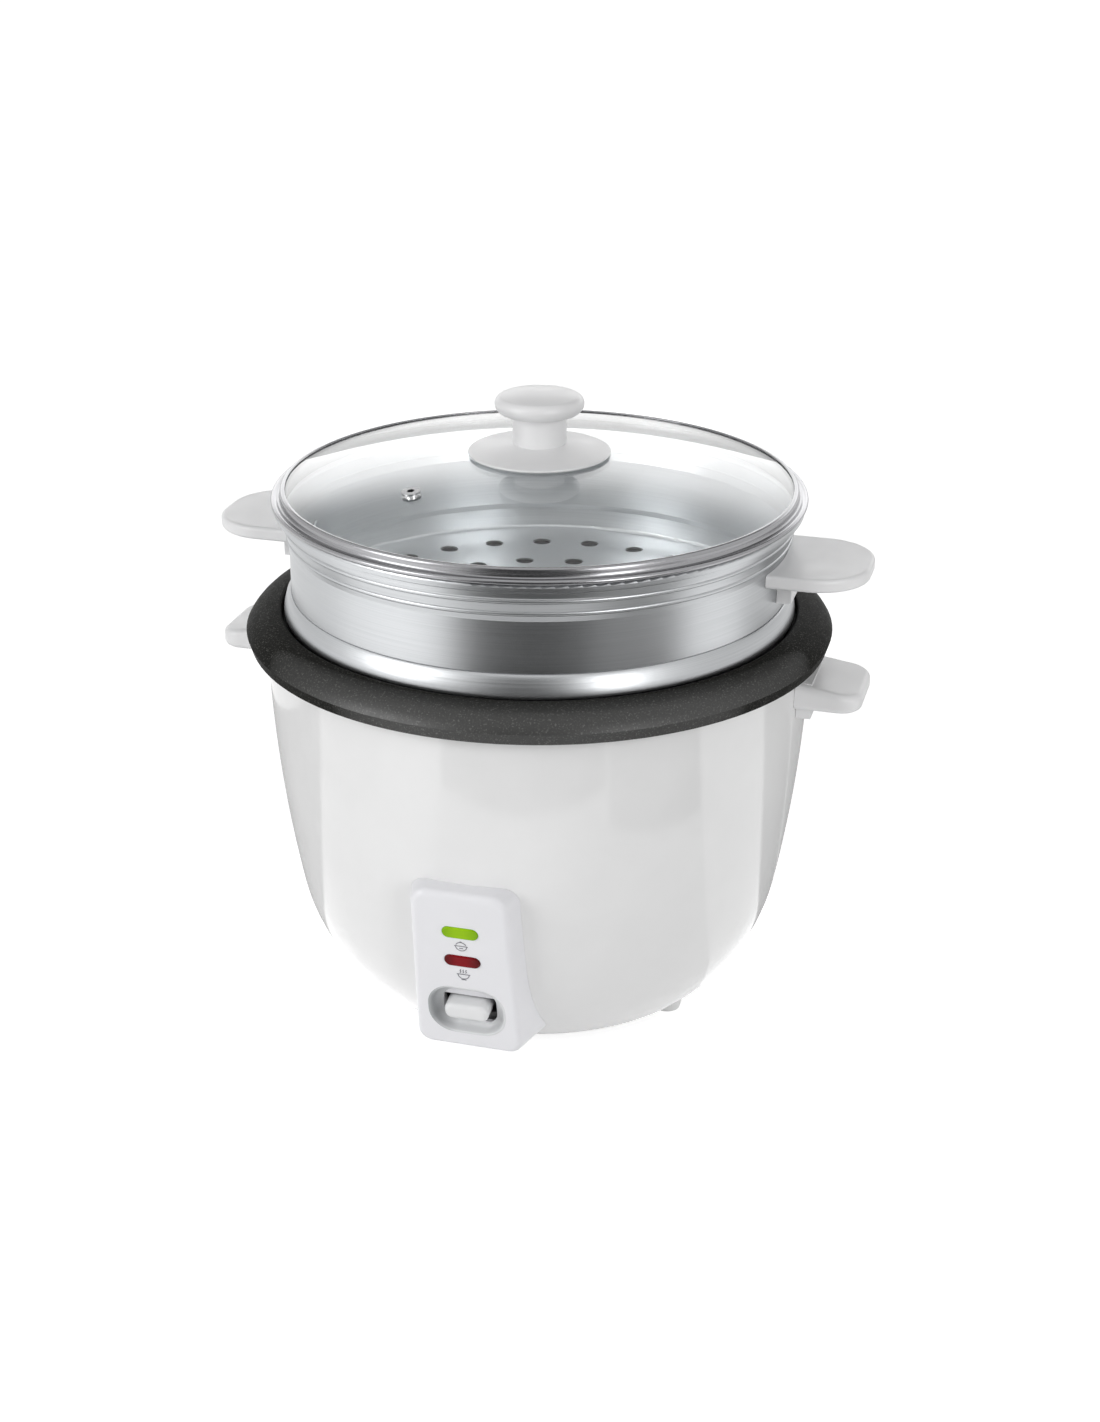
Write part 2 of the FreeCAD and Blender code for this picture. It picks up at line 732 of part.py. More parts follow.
# Radii, from the pot outwards
bend_radius = D.pot_floor_radius + D.pot_corner_radius * cosine(D.pot_taper)
bend_height = pot_low + D.pot_corner_radius * (1 - sine(D.pot_taper))
pot_mouth = bend_radius + slope(D.pot_taper) * (ledge - bend_height)
ledge_radius = pot_mouth - D.pot_wall + D.pot_ledge_width
liner_top_radius = pot_mouth + D.liner_gap
liner_low_radius = bend_radius + D.liner_gap - slope(D.pot_taper) * (bend_height - liner_floor)
casing_radius = liner_top_radius + D.liner_wall + D.casing_gap
belly_radius = casing_radius - D.casing_belly_inset
belly_height = base_top + D.casing_belly_height
casing_foot = casing_radius - D.casing_foot_inset
flange_radius = casing_radius + D.flange_overhang
foot_circle = casing_foot - D.foot_inset
foot_angles = {
    "front_left": -D.front_foot_angle,
    "front_right": D.front_foot_angle,
    "rear_left": -D.rear_foot_angle,
    "rear_right": D.rear_foot_angle,
}

# The panel's own frame: its origin is the foot of the face, its Z runs up the face
panel_foot = casing_foot + D.panel_stand
panel_low = base_top + D.panel_rise

# Switch and thermostat
paddle_y = -(panel_foot + D.paddle_rise * sine(D.panel_lean))
lever_top = panel_low + D.paddle_rise * cosine(D.panel_lean) + D.lever_sheet / 2
lever_low = lever_top - D.lever_sheet
pivot_y = paddle_y + D.lever_front
pivot_z = lever_top - D.pivot_drop
plunger_lift = -pivot_y * sine(D.press_angle)
paddle_drop = D.lever_front * sine(D.press_angle)
bracket_low = lever_top + (D.lever_tail - pivot_y) * sine(D.press_angle) + D.contact_gap
bracket_top = bracket_low + D.bracket_sheet
cap_top = plate_top - D.joint_gap
ferrite_top = cap_top - D.cap_wall
ferrite_low = ferrite_top - D.ferrite_thickness
magnet_top = ferrite_low - D.sensor_travel - plunger_lift - D.contact_gap
magnet_low = magnet_top - D.magnet_thickness
disc_low = magnet_low - D.plunger_disc
rod_low = lever_top + D.contact_gap
flange_top = plate_low - D.contact_gap
flange_low = flange_top - D.cap_wall
cap_flange_radius = D.cap_radius + D.cap_flange_width
contact_y = pivot_y - D.contact_reach
leaf_top = lever_low - D.contact_gap
leaf_low = leaf_top - D.leaf_sheet
leaf_drop = D.leaf_arm * sine(D.leaf_ratio * D.press_angle)
fixed_leaf_top = leaf_low - D.rivet_height * 2 - leaf_drop - D.contact_gap

# Steamer and lid
band_radius = ledge_radius - D.steamer_clearance
wall_radius = band_radius - D.band_inset
mouth_radius = wall_radius + D.mouth_outset
bead_edge = mouth_radius + D.bead_outset
wall_foot = steamer_low + D.band_height + D.band_slope
shoulder_low = steamer_low + D.shoulder_height
shoulder_high = shoulder_low + D.shoulder_slope
lip_radius = mouth_radius - D.steamer_wall - D.lid_fit
rim_radius = bead_edge + D.rim_flange_outset
lip_inner = lip_radius - D.rim_sheet
glass_radius = lip_inner + D.glass_bearing
glass_low = rim_low + D.rim_sheet + D.joint_gap
glass_edge = glass_low + D.glass_thickness
apex = glass_edge + D.glass_rise
glass_sphere = (glass_radius * glass_radius + D.glass_rise * D.glass_rise) / (2 * D.glass_rise)
skirt_low = apex + D.gasket_thickness
skirt_top = skirt_low + D.skirt_height


def casing_radius_at(height):
    """Radius of the casing's upper side at a height."""
    run = casing_radius - belly_radius
    rise = casing_top - belly_height
    chord = root(run * run + rise * rise)
    reach = root(D.casing_side_arc * D.casing_side_arc - chord * chord / 4)
    centre_radius = (casing_radius + belly_radius) / 2 - reach * rise / chord
    centre_height = (casing_top + belly_height) / 2 + reach * run / chord
    above = height - centre_height
    return centre_radius + root(D.casing_side_arc * D.casing_side_arc - above * above)


def inside_casing(height, offset):
    """Where a screw's head lies on the inside of the casing, at a height and beside the middle line."""
    radius = casing_radius_at(height - D.small_head) - D.casing_wall
    side = offset + D.small_head
    return root(radius * radius - side * side)


def drum(label, inset):
    """All the space inside the casing's outer line, moved in by an inset."""
    return lathe(
        label,
        (0, casing_top),
        (casing_radius - inset, casing_top),
        (belly_radius - inset, belly_height, inset - D.casing_side_arc),
        (casing_foot - inset, base_top + inset, SMOOTH),
        (0, base_top + inset),
    )


def on_panel(item):
    """Stand a body that was drawn in the panel's frame at its place."""
    return place(item, 0, -panel_foot, panel_low, X_AXIS, D.panel_lean)


def panel_point(x, up, inward):
    """A point given in the panel's frame."""
    return (
        as_size(x),
        -panel_foot - up * sine(D.panel_lean) + inward * cosine(D.panel_lean),
        panel_low + up * cosine(D.panel_lean) + inward * sine(D.panel_lean),
    )


lamp_heights = {
    "keep_warm": D.panel_height - D.lamp_drop,
    "cook": D.panel_height - D.lamp_drop - D.lamp_pitch,
}
panel_screw_up = D.panel_height - D.panel_screw_drop
panel_screw_height = panel_low + panel_screw_up * cosine(D.panel_lean)
panel_screw_seat = -inside_casing(panel_screw_height, D.panel_screw_half_pitch)
handle_top = casing_top - D.handle_drop
handle_low = handle_top - D.handle_thickness
handle_middle = (handle_top + handle_low) / 2
handle_screw_seat = inside_casing(handle_middle, D.handle_screw_half_pitch)
inlet_face = casing_foot + D.inlet_reach
inlet_back = inlet_face - D.socket_depth - D.inlet_wall
inlet_middle = base_top + D.inlet_height
inlet_half_inside = D.socket_width / 2 + D.inlet_wall
inlet_tall_inside = D.socket_tall / 2 + D.inlet_wall
post_circle = D.liner_floor_hole + D.post_radius + D.slide_gap
tab_top = shoulder_low - D.contact_gap
tab_low = tab_top - D.tab_thickness
leg_low = tab_low - D.tab_leg_drop
rivet_line = leg_low + D.rivet_rise
rivet_side = D.rivet_half_pitch + D.rivet_head
steamer_inner = wall_radius - D.steamer_wall
rivet_seat = root(steamer_inner * steamer_inner - rivet_side * rivet_side)
foot_seat = D.foot_height / 2

SIDES = {"right": 1, "left": -1}
POST_ANGLES = (30, 150, 270)


def foot_spot(angle, height):
    """A point above a foot, by the foot's direction from the front."""
    return foot_circle * sine(angle), -foot_circle * cosine(angle), height


def post_spot(angle, height):
    return post_circle * cosine(angle), post_circle * sine(angle), height


def bracket_screw_spots():
    reach = cap_flange_radius + D.slide_gap + D.bracket_sheet + D.bracket_tab / 2
    return [(reach * side, 0, plate_low - D.bracket_sheet) for side in SIDES.values()]


def panel_screw_spots():
    return [
        (D.panel_screw_half_pitch * side, panel_screw_seat, panel_screw_height) for side in SIDES.values()
    ]


def handle_screw_spots(side):
    return [
        (handle_screw_seat * side, D.handle_screw_half_pitch * way, handle_middle) for way in SIDES.values()
    ]


def rivet_spots(side):
    return [(rivet_seat * side, D.rivet_half_pitch * way, rivet_line) for way in SIDES.values()]


def outer_casing():
    hole = D.small_shank + D.joint_gap
    opening = casing_foot - D.casing_lip_width
    reach = D.casing_wall * 4
    window = add("PartDesign::Body", "casing_window")
    half = D.board_half_width + D.slide_gap
    low = D.paddle_rise - D.recess_height / 2
    high = lamp_heights["keep_warm"] + D.board_margin + D.slide_gap
    corners = [(half, low), (half, high), (-half, high), (-half, low)]
    pad(window, "XZ_Plane", 0, D.panel_depth * 2, corners, back=True)
    on_panel(window)
    cutters = [
        drum("casing_hollow", D.casing_wall),
        cylinder("casing_opening", opening, D.casing_wall * 2, z=base_top - D.casing_wall / 2),
        window,
        box(
            "casing_inlet_hole",
            (-inlet_half_inside - D.joint_gap, inlet_half_inside + D.joint_gap),
            (inlet_back, inlet_face),
            (inlet_middle - inlet_tall_inside - D.joint_gap, inlet_middle + inlet_tall_inside + D.joint_gap),
        ),
    ]
    for name, angle in foot_angles.items():
        spot = foot_spot(angle, base_low)
        cutters.append(bore(f"casing_hole_{name}", spot, Z_AXIS, 0, hole, reach))
    for spot in panel_screw_spots():
        cutters.append(bore("casing_panel_hole", spot, X_AXIS, QUARTER_TURN, hole, reach))
    for name, side in SIDES.items():
        turn = QUARTER_TURN * side
        for spot in handle_screw_spots(side):
            cutters.append(bore(f"casing_handle_hole_{name}", spot, Y_AXIS, turn, hole, reach))
    finish(cut("outer_casing", drum("casing_drum", 0), *cutters))


def base_and_feet():
    plate = lathe(
        "base_plate_blank",
        (0, base_low),
        (casing_foot - D.base_plate_inset, base_low),
        (casing_foot - D.base_plate_inset, base_top),
        (0, base_top),
    )
    hole = D.small_shank + D.joint_gap
    recess = D.small_head + D.slide_gap
    length = base_top + D.casing_wall * 2 - foot_seat
    holes = []
    screws = []
    for name, angle in foot_angles.items():
        foot = lathe(
            f"foot_{name}",
            (recess, 0),
            (D.foot_radius - D.foot_taper, 0),
            (D.foot_radius, base_low),
            (hole, base_low),
            (hole, foot_seat),
            (recess, foot_seat),
        )
        finish(place(foot, *foot_spot(angle, 0)))
        spot = foot_spot(angle, foot_seat)
        holes.append(bore(f"base_hole_{name}", spot, Z_AXIS, 0, hole, length))
        screws.append(small_screw(f"base_screw_{name}", spot, Z_AXIS, 0, length))
    finish(cut("base_plate", plate, *holes))
    finish(group("base_screws", *screws))


def inner_liner():
    liner = lathe(
        "liner_blank",
        (D.liner_floor_hole, liner_floor),
        (liner_low_radius + D.liner_wall, liner_floor),
        (liner_top_radius + D.liner_wall, casing_top),
        (casing_radius - D.casing_wall / 2, casing_top),
        (casing_radius - D.casing_wall / 2, casing_top + D.liner_wall),
        (liner_top_radius, casing_top + D.liner_wall),
        (liner_low_radius, liner_floor + D.liner_wall),
        (D.liner_floor_hole, liner_floor + D.liner_wall),
    )
    hole = D.small_shank + D.joint_gap
    holes = []
    for angle in POST_ANGLES:
        spot = post_spot(angle, liner_floor - D.liner_wall)
        holes.append(bore(f"liner_hole_{angle}", spot, Z_AXIS, 0, hole, D.liner_wall * 3))
    finish(cut("inner_liner", liner, *holes))


def heating():
    hub = D.cap_radius + D.slide_gap
    blank = lathe(
        "plate_blank",
        (hub, plate_low),
        (D.plate_radius, plate_low),
        (D.plate_radius, plate_top - D.plate_edge),
        (D.plate_radius - D.plate_edge, plate_top),
        (hub, plate_top),
    )
    tube_height = plate_low + D.element_depth
    groove = add("Part::Torus", "plate_groove")
    bind(groove, "Radius1", D.element_ring_radius)
    bind(groove, "Radius2", D.element_radius + D.joint_gap)
    place(groove, z=tube_height)
    cutters = [groove]
    post_hole = D.small_shank + D.joint_gap
    thread = D.small_shank + D.pin_fit
    screw_length = D.liner_wall + D.post_height + D.small_bite
    screw_depth = screw_length + D.joint_gap
    posts = []
    screws = []
    for angle in POST_ANGLES:
        spot = post_spot(angle, liner_floor)
        screws.append(small_screw(f"plate_screw_{angle}", spot, Z_AXIS, 0, screw_length))
        cutters.append(bore(f"plate_hole_{angle}", spot, Z_AXIS, 0, thread, screw_depth))
        foot = liner_floor + D.liner_wall
        post = add("PartDesign::Body", f"plate_post_{angle}")
        pad(post, "XY_Plane", foot, D.post_height, (0, 0, D.post_radius), (0, 0, post_hole))
        x, y, _ = spot
        posts.append(place(post, x, y, 0))
    for spot in bracket_screw_spots():
        cutters.append(bore("plate_bracket_hole", spot, Z_AXIS, 0, thread, D.small_bite + D.joint_gap))
    finish(cut("heating_plate", blank, *cutters))
    finish(group("plate_posts", *posts))
    finish(group("plate_screws", *screws))

    ring = add("PartDesign::Body", "element_ring")
    sketch = sketch_on(ring, "XZ_Plane")
    draw_circle(sketch, D.element_ring_radius, tube_height, D.element_radius)
    turned = ring.newObject("PartDesign::Revolution", "element_ring_turned")
    turned.Profile = sketch
    turned.ReferenceAxis = (sketch, ["V_Axis"])
    bind(turned, "Angle", FULL_TURN - D.element_gap_angle)
    place(ring, axis=Z_AXIS, angle=QUARTER_TURN + D.element_gap_angle / 2)
    terminals = [
        cylinder(f"terminal_{name}", D.terminal_radius, D.terminal_length, *terminal_spot(side))
        for name, side in SIDES.items()
    ]
    finish(fuse("heating_element", ring, *terminals))


def terminal_spot(side):
    """Lower end of one of the heating element's terminals, at the rear."""
    return (
        D.element_ring_radius * sine(D.terminal_angle) * side,
        D.element_ring_radius * cosine(D.terminal_angle),
        plate_low + D.element_depth - D.terminal_length,
    )


def thermostat():
    inner = D.cap_radius - D.cap_wall
    finish(lathe(
        "sensor_cap",
        (0, ferrite_top),
        (inner, ferrite_top),
        (inner, flange_low),
        (cap_flange_radius, flange_low),
        (cap_flange_radius, flange_top),
        (D.cap_radius, flange_top),
        (D.cap_radius, cap_top),
        (0, cap_top),
    ))
    finish(cylinder("ferrite_disc", D.ferrite_radius, D.ferrite_thickness, z=ferrite_low))
    finish(cylinder("magnet", D.magnet_radius, D.magnet_thickness, z=magnet_low))
    finish(lathe(
        "plunger_rod",
        (0, rod_low),
        (D.rod_radius, rod_low),
        (D.rod_radius, disc_low),
        (D.ferrite_radius, disc_low),
        (D.ferrite_radius, magnet_low),
        (0, magnet_low),
    ))
    spring_radius = D.cap_radius + D.cap_flange_width / 2
    finish(coil("sensor_spring", spring_radius, D.sensor_wire, bracket_top, flange_low, D.sensor_turns))
    spring_radius = (D.magnet_radius + D.ferrite_radius) / 2
    finish(coil("plunger_spring", spring_radius, D.plunger_wire, magnet_low, ferrite_low, D.plunger_turns))

    half = cap_flange_radius + D.slide_gap
    outer = half + D.bracket_sheet
    pieces = [box("bracket_floor", (-outer, outer), (-half, half), (bracket_low, bracket_top))]
    for name, side in SIDES.items():
        leg = (half, outer) if side > 0 else (-outer, -half)
        foot = (half, outer + D.bracket_tab) if side > 0 else (-outer - D.bracket_tab, -half)
        width = (-D.bracket_tab, D.bracket_tab)
        pieces.append(box(f"bracket_leg_{name}", leg, width, (bracket_low, plate_low)))
        pieces.append(box(f"bracket_tab_{name}", foot, width, (plate_low - D.bracket_sheet, plate_low)))
    rod_hole = D.rod_radius + D.slide_gap
    under = bracket_low - D.bracket_sheet
    holes = [cylinder("bracket_rod_hole", rod_hole, D.bracket_sheet * 3, z=under)]
    screws = []
    length = D.bracket_sheet + D.small_bite
    for spot in bracket_screw_spots():
        holes.append(bore("bracket_hole", spot, Z_AXIS, 0, D.small_shank + D.joint_gap, length))
        screws.append(small_screw("bracket_screw", spot, Z_AXIS, 0, D.small_bite))
    finish(cut("thermostat_bracket", fuse("bracket_blank", *pieces), *holes))
    finish(group("bracket_screws", *screws))


def switch():
    half = D.lever_width / 2
    ear_in = half + D.contact_gap
    ear_out = ear_in + D.ear_sheet
    along = (pivot_y - D.ear_half_width, pivot_y + D.ear_half_width)
    around = D.pin_radius * 2
    span = (paddle_y + D.recess_depth, D.lever_tail)
    strip = box("lever_strip", (-half, half), span, (lever_low, lever_top))
    lugs = []
    ears = [box("bracket_sole", (-ear_out, ear_out), along, (base_top, base_top + D.ear_sheet))]
    for name, side in SIDES.items():
        lug = (half - D.lever_sheet, half) if side > 0 else (-half, D.lever_sheet - half)
        ear = (ear_in, ear_out) if side > 0 else (-ear_out, -ear_in)
        lugs.append(box(f"lever_lug_{name}", lug, along, (pivot_z - around, lever_top)))
        ears.append(box(f"bracket_ear_{name}", ear, along, (base_top, pivot_z + around)))
    length = (ear_out + D.ear_sheet) * 2
    start = -ear_out - D.ear_sheet
    spot = (start, pivot_y, pivot_z)
    hole = D.pin_radius + D.pin_fit
    lever_hole = bore("lever_hole", spot, Y_AXIS, QUARTER_TURN, hole, length)
    ear_hole = bore("ear_hole", spot, Y_AXIS, QUARTER_TURN, hole, length)
    finish(cut("switch_lever", fuse("lever_blank", strip, *lugs), lever_hole))
    finish(cut("lever_bracket", fuse("ears_blank", *ears), ear_hole))
    finish(cylinder("lever_pin", D.pin_radius, length, *spot, Y_AXIS, QUARTER_TURN))

    block_start = D.leaf_arm - D.rivet_radius
    across = (contact_y - D.contact_width / 2, contact_y + D.contact_width / 2)
    block_front = contact_y - D.contact_width / 2
    depth = (block_front, block_front + D.block_width)
    standing = (base_top + D.casing_wall, leaf_low - D.contact_gap)
    finish(box("contact_block", (block_start, block_start + D.block_length), depth, standing))
    tip = -D.rivet_radius * 2
    leaf = box("moving_leaf", (tip, D.leaf_arm + D.rivet_radius * 2), across, (leaf_low, leaf_top))
    rivet = cylinder("moving_rivet", D.rivet_radius, D.rivet_height, 0, contact_y, leaf_low - D.rivet_height)
    finish(fuse("moving_contact", leaf, rivet))
    leaf = box("fixed_leaf", (tip, block_start), across, (fixed_leaf_top - D.leaf_sheet, fixed_leaf_top))
    rivet = cylinder("fixed_rivet", D.rivet_radius, D.rivet_height, 0, contact_y, fixed_leaf_top)
    finish(fuse("fixed_contact", leaf, rivet))


def switch_paddle():
    body = add("PartDesign::Body", "paddle_blank")
    half = D.paddle_height / 2
    corners = [
        (D.paddle_width / 2, D.paddle_rise - half),
        (D.paddle_width / 2, D.paddle_rise + half),
        (-D.paddle_width / 2, D.paddle_rise + half),
        (-D.paddle_width / 2, D.paddle_rise - half),
    ]
    depth = D.paddle_reach + D.recess_depth + D.recess_wall + D.paddle_shank
    pad(body, "XZ_Plane", D.paddle_reach, depth, corners, back=True)
    round_edges(body, D.paddle_corner, edges_ahead_of(-D.paddle_reach))
    on_panel(body)
    slot = box(
        "paddle_slot",
        (-D.lever_width / 2 - D.joint_gap, D.lever_width / 2 + D.joint_gap),
        (paddle_y + D.recess_depth - D.joint_gap, paddle_y + D.panel_depth),
        (lever_low - D.joint_gap, lever_top + D.joint_gap),
    )
    finish(cut("switch_paddle", body, slot))


def panel_section(body, inward):
    """Outline of the space inside the panel at a depth behind its face."""
    out = inward * slope(D.panel_draft) - D.panel_wall
    low = D.panel_wall - D.panel_fall * inward / D.panel_depth
    high = low + D.panel_height - D.panel_wall * 2
    wide = D.panel_half_bottom + out
    narrow = D.panel_half_top + out
    bevel = D.panel_corner
    sketch = sketch_on(body, "XZ_Plane", -inward)
    draw(
        sketch,
        (wide - bevel, low),
        (wide, low + bevel),
        (narrow, high - bevel),
        (narrow - bevel, high),
        (bevel - narrow, high),
        (-narrow, high - bevel),
        (-wide, low + bevel),
        (bevel - wide, low),
    )
    return sketch


def panel_shell(body):
    """The panel's box: a face with falling ends, flared sides, round edges and a hollow back."""
    wide = D.panel_half_bottom
    narrow = D.panel_half_top
    fall = D.panel_fall
    top = D.panel_height
    deep = D.panel_depth
    pad(body, "XZ_Plane", 0, deep, [(wide, -fall), (narrow, top), (-narrow, top), (-wide, -fall)], back=True)
    over = [(0, top), (deep, top - fall), (deep, top + fall), (0, top + fall)]
    under = [(0, 0), (0, -fall * 2), (deep, -fall * 2), (deep, -fall)]
    pocket(body, "YZ_Plane", wide * 2, wide * 4, over)
    pocket(body, "YZ_Plane", wide * 2, wide * 4, under)
    base = body.Tip
    normals = [face.normalAt(0, 0) for face in base.Shape.Faces]
    sides = [f"Face{number}" for number, normal in enumerate(normals, 1) if abs(normal.x) > MOSTLY]
    fronts = [f"Face{number}" for number, normal in enumerate(normals, 1) if -normal.y > MOSTLY]
    draft = body.newObject("PartDesign::Draft", "panel_sides")
    draft.Base = (base, sides)
    draft.NeutralPlane = (base, fronts)
    bind(draft, "Angle", D.panel_draft)
    doc.recompute()
    draft.Reversed = True
    round_edges(body, D.panel_corner, lambda edge: edge.BoundBox.YLength > NEAR)
    round_edges(body, D.panel_edge, edges_ahead_of(as_size(0)))
    hollow = body.newObject("PartDesign::SubtractiveLoft", "panel_hollow")
    hollow.Profile = panel_section(body, D.panel_wall)
    hollow.Sections = [panel_section(body, D.panel_depth)]
    hollow.Ruled = True


def control_panel():
    body = add("PartDesign::Body", "panel_blank")
    panel_shell(body)
    cup_half = D.recess_height / 2 + D.recess_wall
    cup = rounded_box(
        D.recess_width / 2 + D.recess_wall,
        D.paddle_rise - cup_half,
        D.paddle_rise + cup_half,
        D.recess_corner + D.recess_wall,
    )
    pad(body, "XZ_Plane", -D.panel_wall, D.recess_depth + D.recess_wall - D.panel_wall, cup, back=True)
    peg_up = (lamp_heights["keep_warm"] + lamp_heights["cook"]) / 2
    peg_out = D.board_half_width - D.peg_radius
    pegs = [(peg_out * side, peg_up, D.peg_radius) for side in SIDES.values()]
    pad(body, "XZ_Plane", -D.panel_wall, D.board_depth - D.panel_wall, *pegs, back=True)
    recess_half = D.recess_height / 2
    recess = rounded_box(
        D.recess_width / 2,
        D.paddle_rise - recess_half,
        D.paddle_rise + recess_half,
        D.recess_corner,
    )
    pocket(body, "XZ_Plane", 0, D.recess_depth, recess)
    window_half = D.paddle_width / 2 + D.paddle_side_gap
    window_low = D.paddle_rise - D.paddle_height / 2 - paddle_drop - D.slide_gap
    window_high = D.paddle_rise + D.paddle_height / 2 + D.slide_gap
    window = [
        (window_half, window_low),
        (window_half, window_high),
        (-window_half, window_high),
        (-window_half, window_low),
    ]
    pocket(body, "XZ_Plane", 0, D.recess_depth + D.recess_wall * 2, window)
    for up in lamp_heights.values():
        pocket(body, "XZ_Plane", 0, D.panel_wall * 2, pill(D.lens_width / 2, up, D.lens_height / 2))
    on_panel(body)
    length = D.panel_depth / 2
    bosses = []
    cutters = [drum("panel_drum", -D.joint_gap)]
    screws = []
    shank = D.casing_wall * 2 + D.small_bite
    hole = D.small_shank + D.pin_fit
    _, face_y, _ = panel_point(0, panel_screw_up, D.panel_wall / 2)
    for side, spot in zip(SIDES.values(), panel_screw_spots()):
        start = (D.panel_screw_half_pitch * side, face_y, panel_screw_height)
        bosses.append(cylinder("panel_boss", D.boss_radius, length, *start, X_AXIS, -QUARTER_TURN))
        cutters.append(bore("panel_hole", spot, X_AXIS, QUARTER_TURN, hole, shank + D.joint_gap))
        screws.append(small_screw("panel_screw", spot, X_AXIS, QUARTER_TURN, shank))
    finish(cut("control_panel", fuse("panel_with_bosses", body, *bosses), *cutters))
    finish(group("panel_screws", *screws))


def lamps():
    for name, up in lamp_heights.items():
        lens = add("PartDesign::Body", f"{name}_lens")
        half = D.lens_width / 2 - D.joint_gap
        radius = D.lens_height / 2 - D.joint_gap
        depth = D.lens_proud + D.panel_wall + D.joint_gap
        pad(lens, "XZ_Plane", D.lens_proud, depth, pill(half, up, radius), back=True)
        round_edges(lens, D.lens_round, edges_ahead_of(-D.lens_proud))
        rim = pill(half + D.lens_rim, up, radius + D.lens_rim)
        pad(lens, "XZ_Plane", -D.panel_wall - D.joint_gap, D.lens_rim, rim, back=True)
        finish(on_panel(lens))
        start = D.panel_wall + D.lens_rim + D.contact_gap
        spot = panel_point(0, up, start)
        turn = D.panel_lean - QUARTER_TURN
        finish(cylinder(f"{name}_lamp", D.bulb_radius, D.board_depth - start, *spot, X_AXIS, turn))
    board = add("PartDesign::Body", "lamp_board")
    low = lamp_heights["cook"] - D.board_margin
    high = lamp_heights["keep_warm"] + D.board_margin
    half = D.board_half_width
    corners = [(half, low), (half, high), (-half, high), (-half, low)]
    pad(board, "XZ_Plane", -D.board_depth, D.board_sheet, corners, back=True)
    finish(on_panel(board))


def body_handles():
    screws = []
    length = D.casing_wall * 2 + D.small_bite
    hole = D.small_shank + D.pin_fit
    fall = D.handle_fall * (D.handle_reach + D.handle_corner) / D.handle_reach
    for name, side in SIDES.items():
        turn = QUARTER_TURN * side
        body = add("PartDesign::Body", f"handle_blank_{name}")
        start = casing_radius - D.handle_root
        tip = casing_radius + D.handle_reach
        half = D.handle_width / 2
        pad(body, "XY_Plane", handle_low, D.handle_thickness, tab(start, tip, half, D.handle_corner))
        wedge = [
            (casing_radius, handle_top),
            (tip + D.handle_corner, handle_top - fall),
            (tip + D.handle_corner, handle_top + D.handle_fall),
            (casing_radius, handle_top + D.handle_fall),
        ]
        pocket(body, "XZ_Plane", D.handle_width, D.handle_width * 2, wedge)
        round_edges(body, D.handle_edge, level_edges_beyond(casing_radius))
        pad_half = D.handle_pad_width / 2
        pad_tip = casing_radius + D.handle_pad_reach
        corners = [(start, -pad_half), (pad_tip, -pad_half), (pad_tip, pad_half), (start, pad_half)]
        pad(body, "XY_Plane", handle_low - D.handle_pad_drop, D.handle_thickness + D.handle_pad_drop, corners)
        place(body, axis=Z_AXIS, angle=0 if side > 0 else FULL_TURN / 2)
        cutters = [drum(f"handle_drum_{name}", -D.joint_gap)]
        for spot in handle_screw_spots(side):
            cutters.append(bore(f"handle_hole_{name}", spot, Y_AXIS, turn, hole, length + D.joint_gap))
            screws.append(small_screw(f"handle_screw_{name}", spot, Y_AXIS, turn, length))
        finish(cut(f"body_handle_{name}", body, *cutters))
    finish(group("body_handle_screws", *screws))


def power_inlet():
    block = add("PartDesign::Body", "inlet_block")
    low = inlet_middle - D.inlet_tall / 2
    high = inlet_middle + D.inlet_tall / 2
    corners = rounded_box(D.inlet_width / 2, low, high, D.inlet_corner)
    pad(block, "XZ_Plane", -inlet_face, D.socket_depth + D.inlet_wall, corners)
    outside = cut("inlet_outside", block, drum("inlet_drum", -D.joint_gap))
    inside = box(
        "inlet_inside",
        (-inlet_half_inside, inlet_half_inside),
        (inlet_back, inlet_face),
        (inlet_middle - inlet_tall_inside, inlet_middle + inlet_tall_inside),
    )
    socket_floor = inlet_face - D.socket_depth
    cutters = [
        box(
            "inlet_socket",
            (-D.socket_width / 2, D.socket_width / 2),
            (socket_floor, inlet_face + D.inlet_wall),
            (inlet_middle - D.socket_tall / 2, inlet_middle + D.socket_tall / 2),
        )
    ]
    pins = []
    for name, (x, z) in blade_spots().items():
        for gap, kept in ((D.pin_fit, cutters), (as_size(0), pins)):
            kept.append(box(
                f"{name}_blade",
                (x - D.blade_width / 2 - gap, x + D.blade_width / 2 + gap),
                (inlet_back - D.blade_tail, socket_floor + D.blade_length),
                (z - D.blade_tall / 2 - gap, z + D.blade_tall / 2 + gap),
            ))
    finish(cut("power_inlet", fuse("inlet_blank", outside, inside), *cutters))
    finish(group("inlet_pins", *pins))


def blade_spots():
    low = inlet_middle - D.blade_low
    return {
        "live": (D.blade_spread, low),
        "neutral": (-D.blade_spread, low),
        "earth": (as_size(0), inlet_middle + D.blade_high),
    }


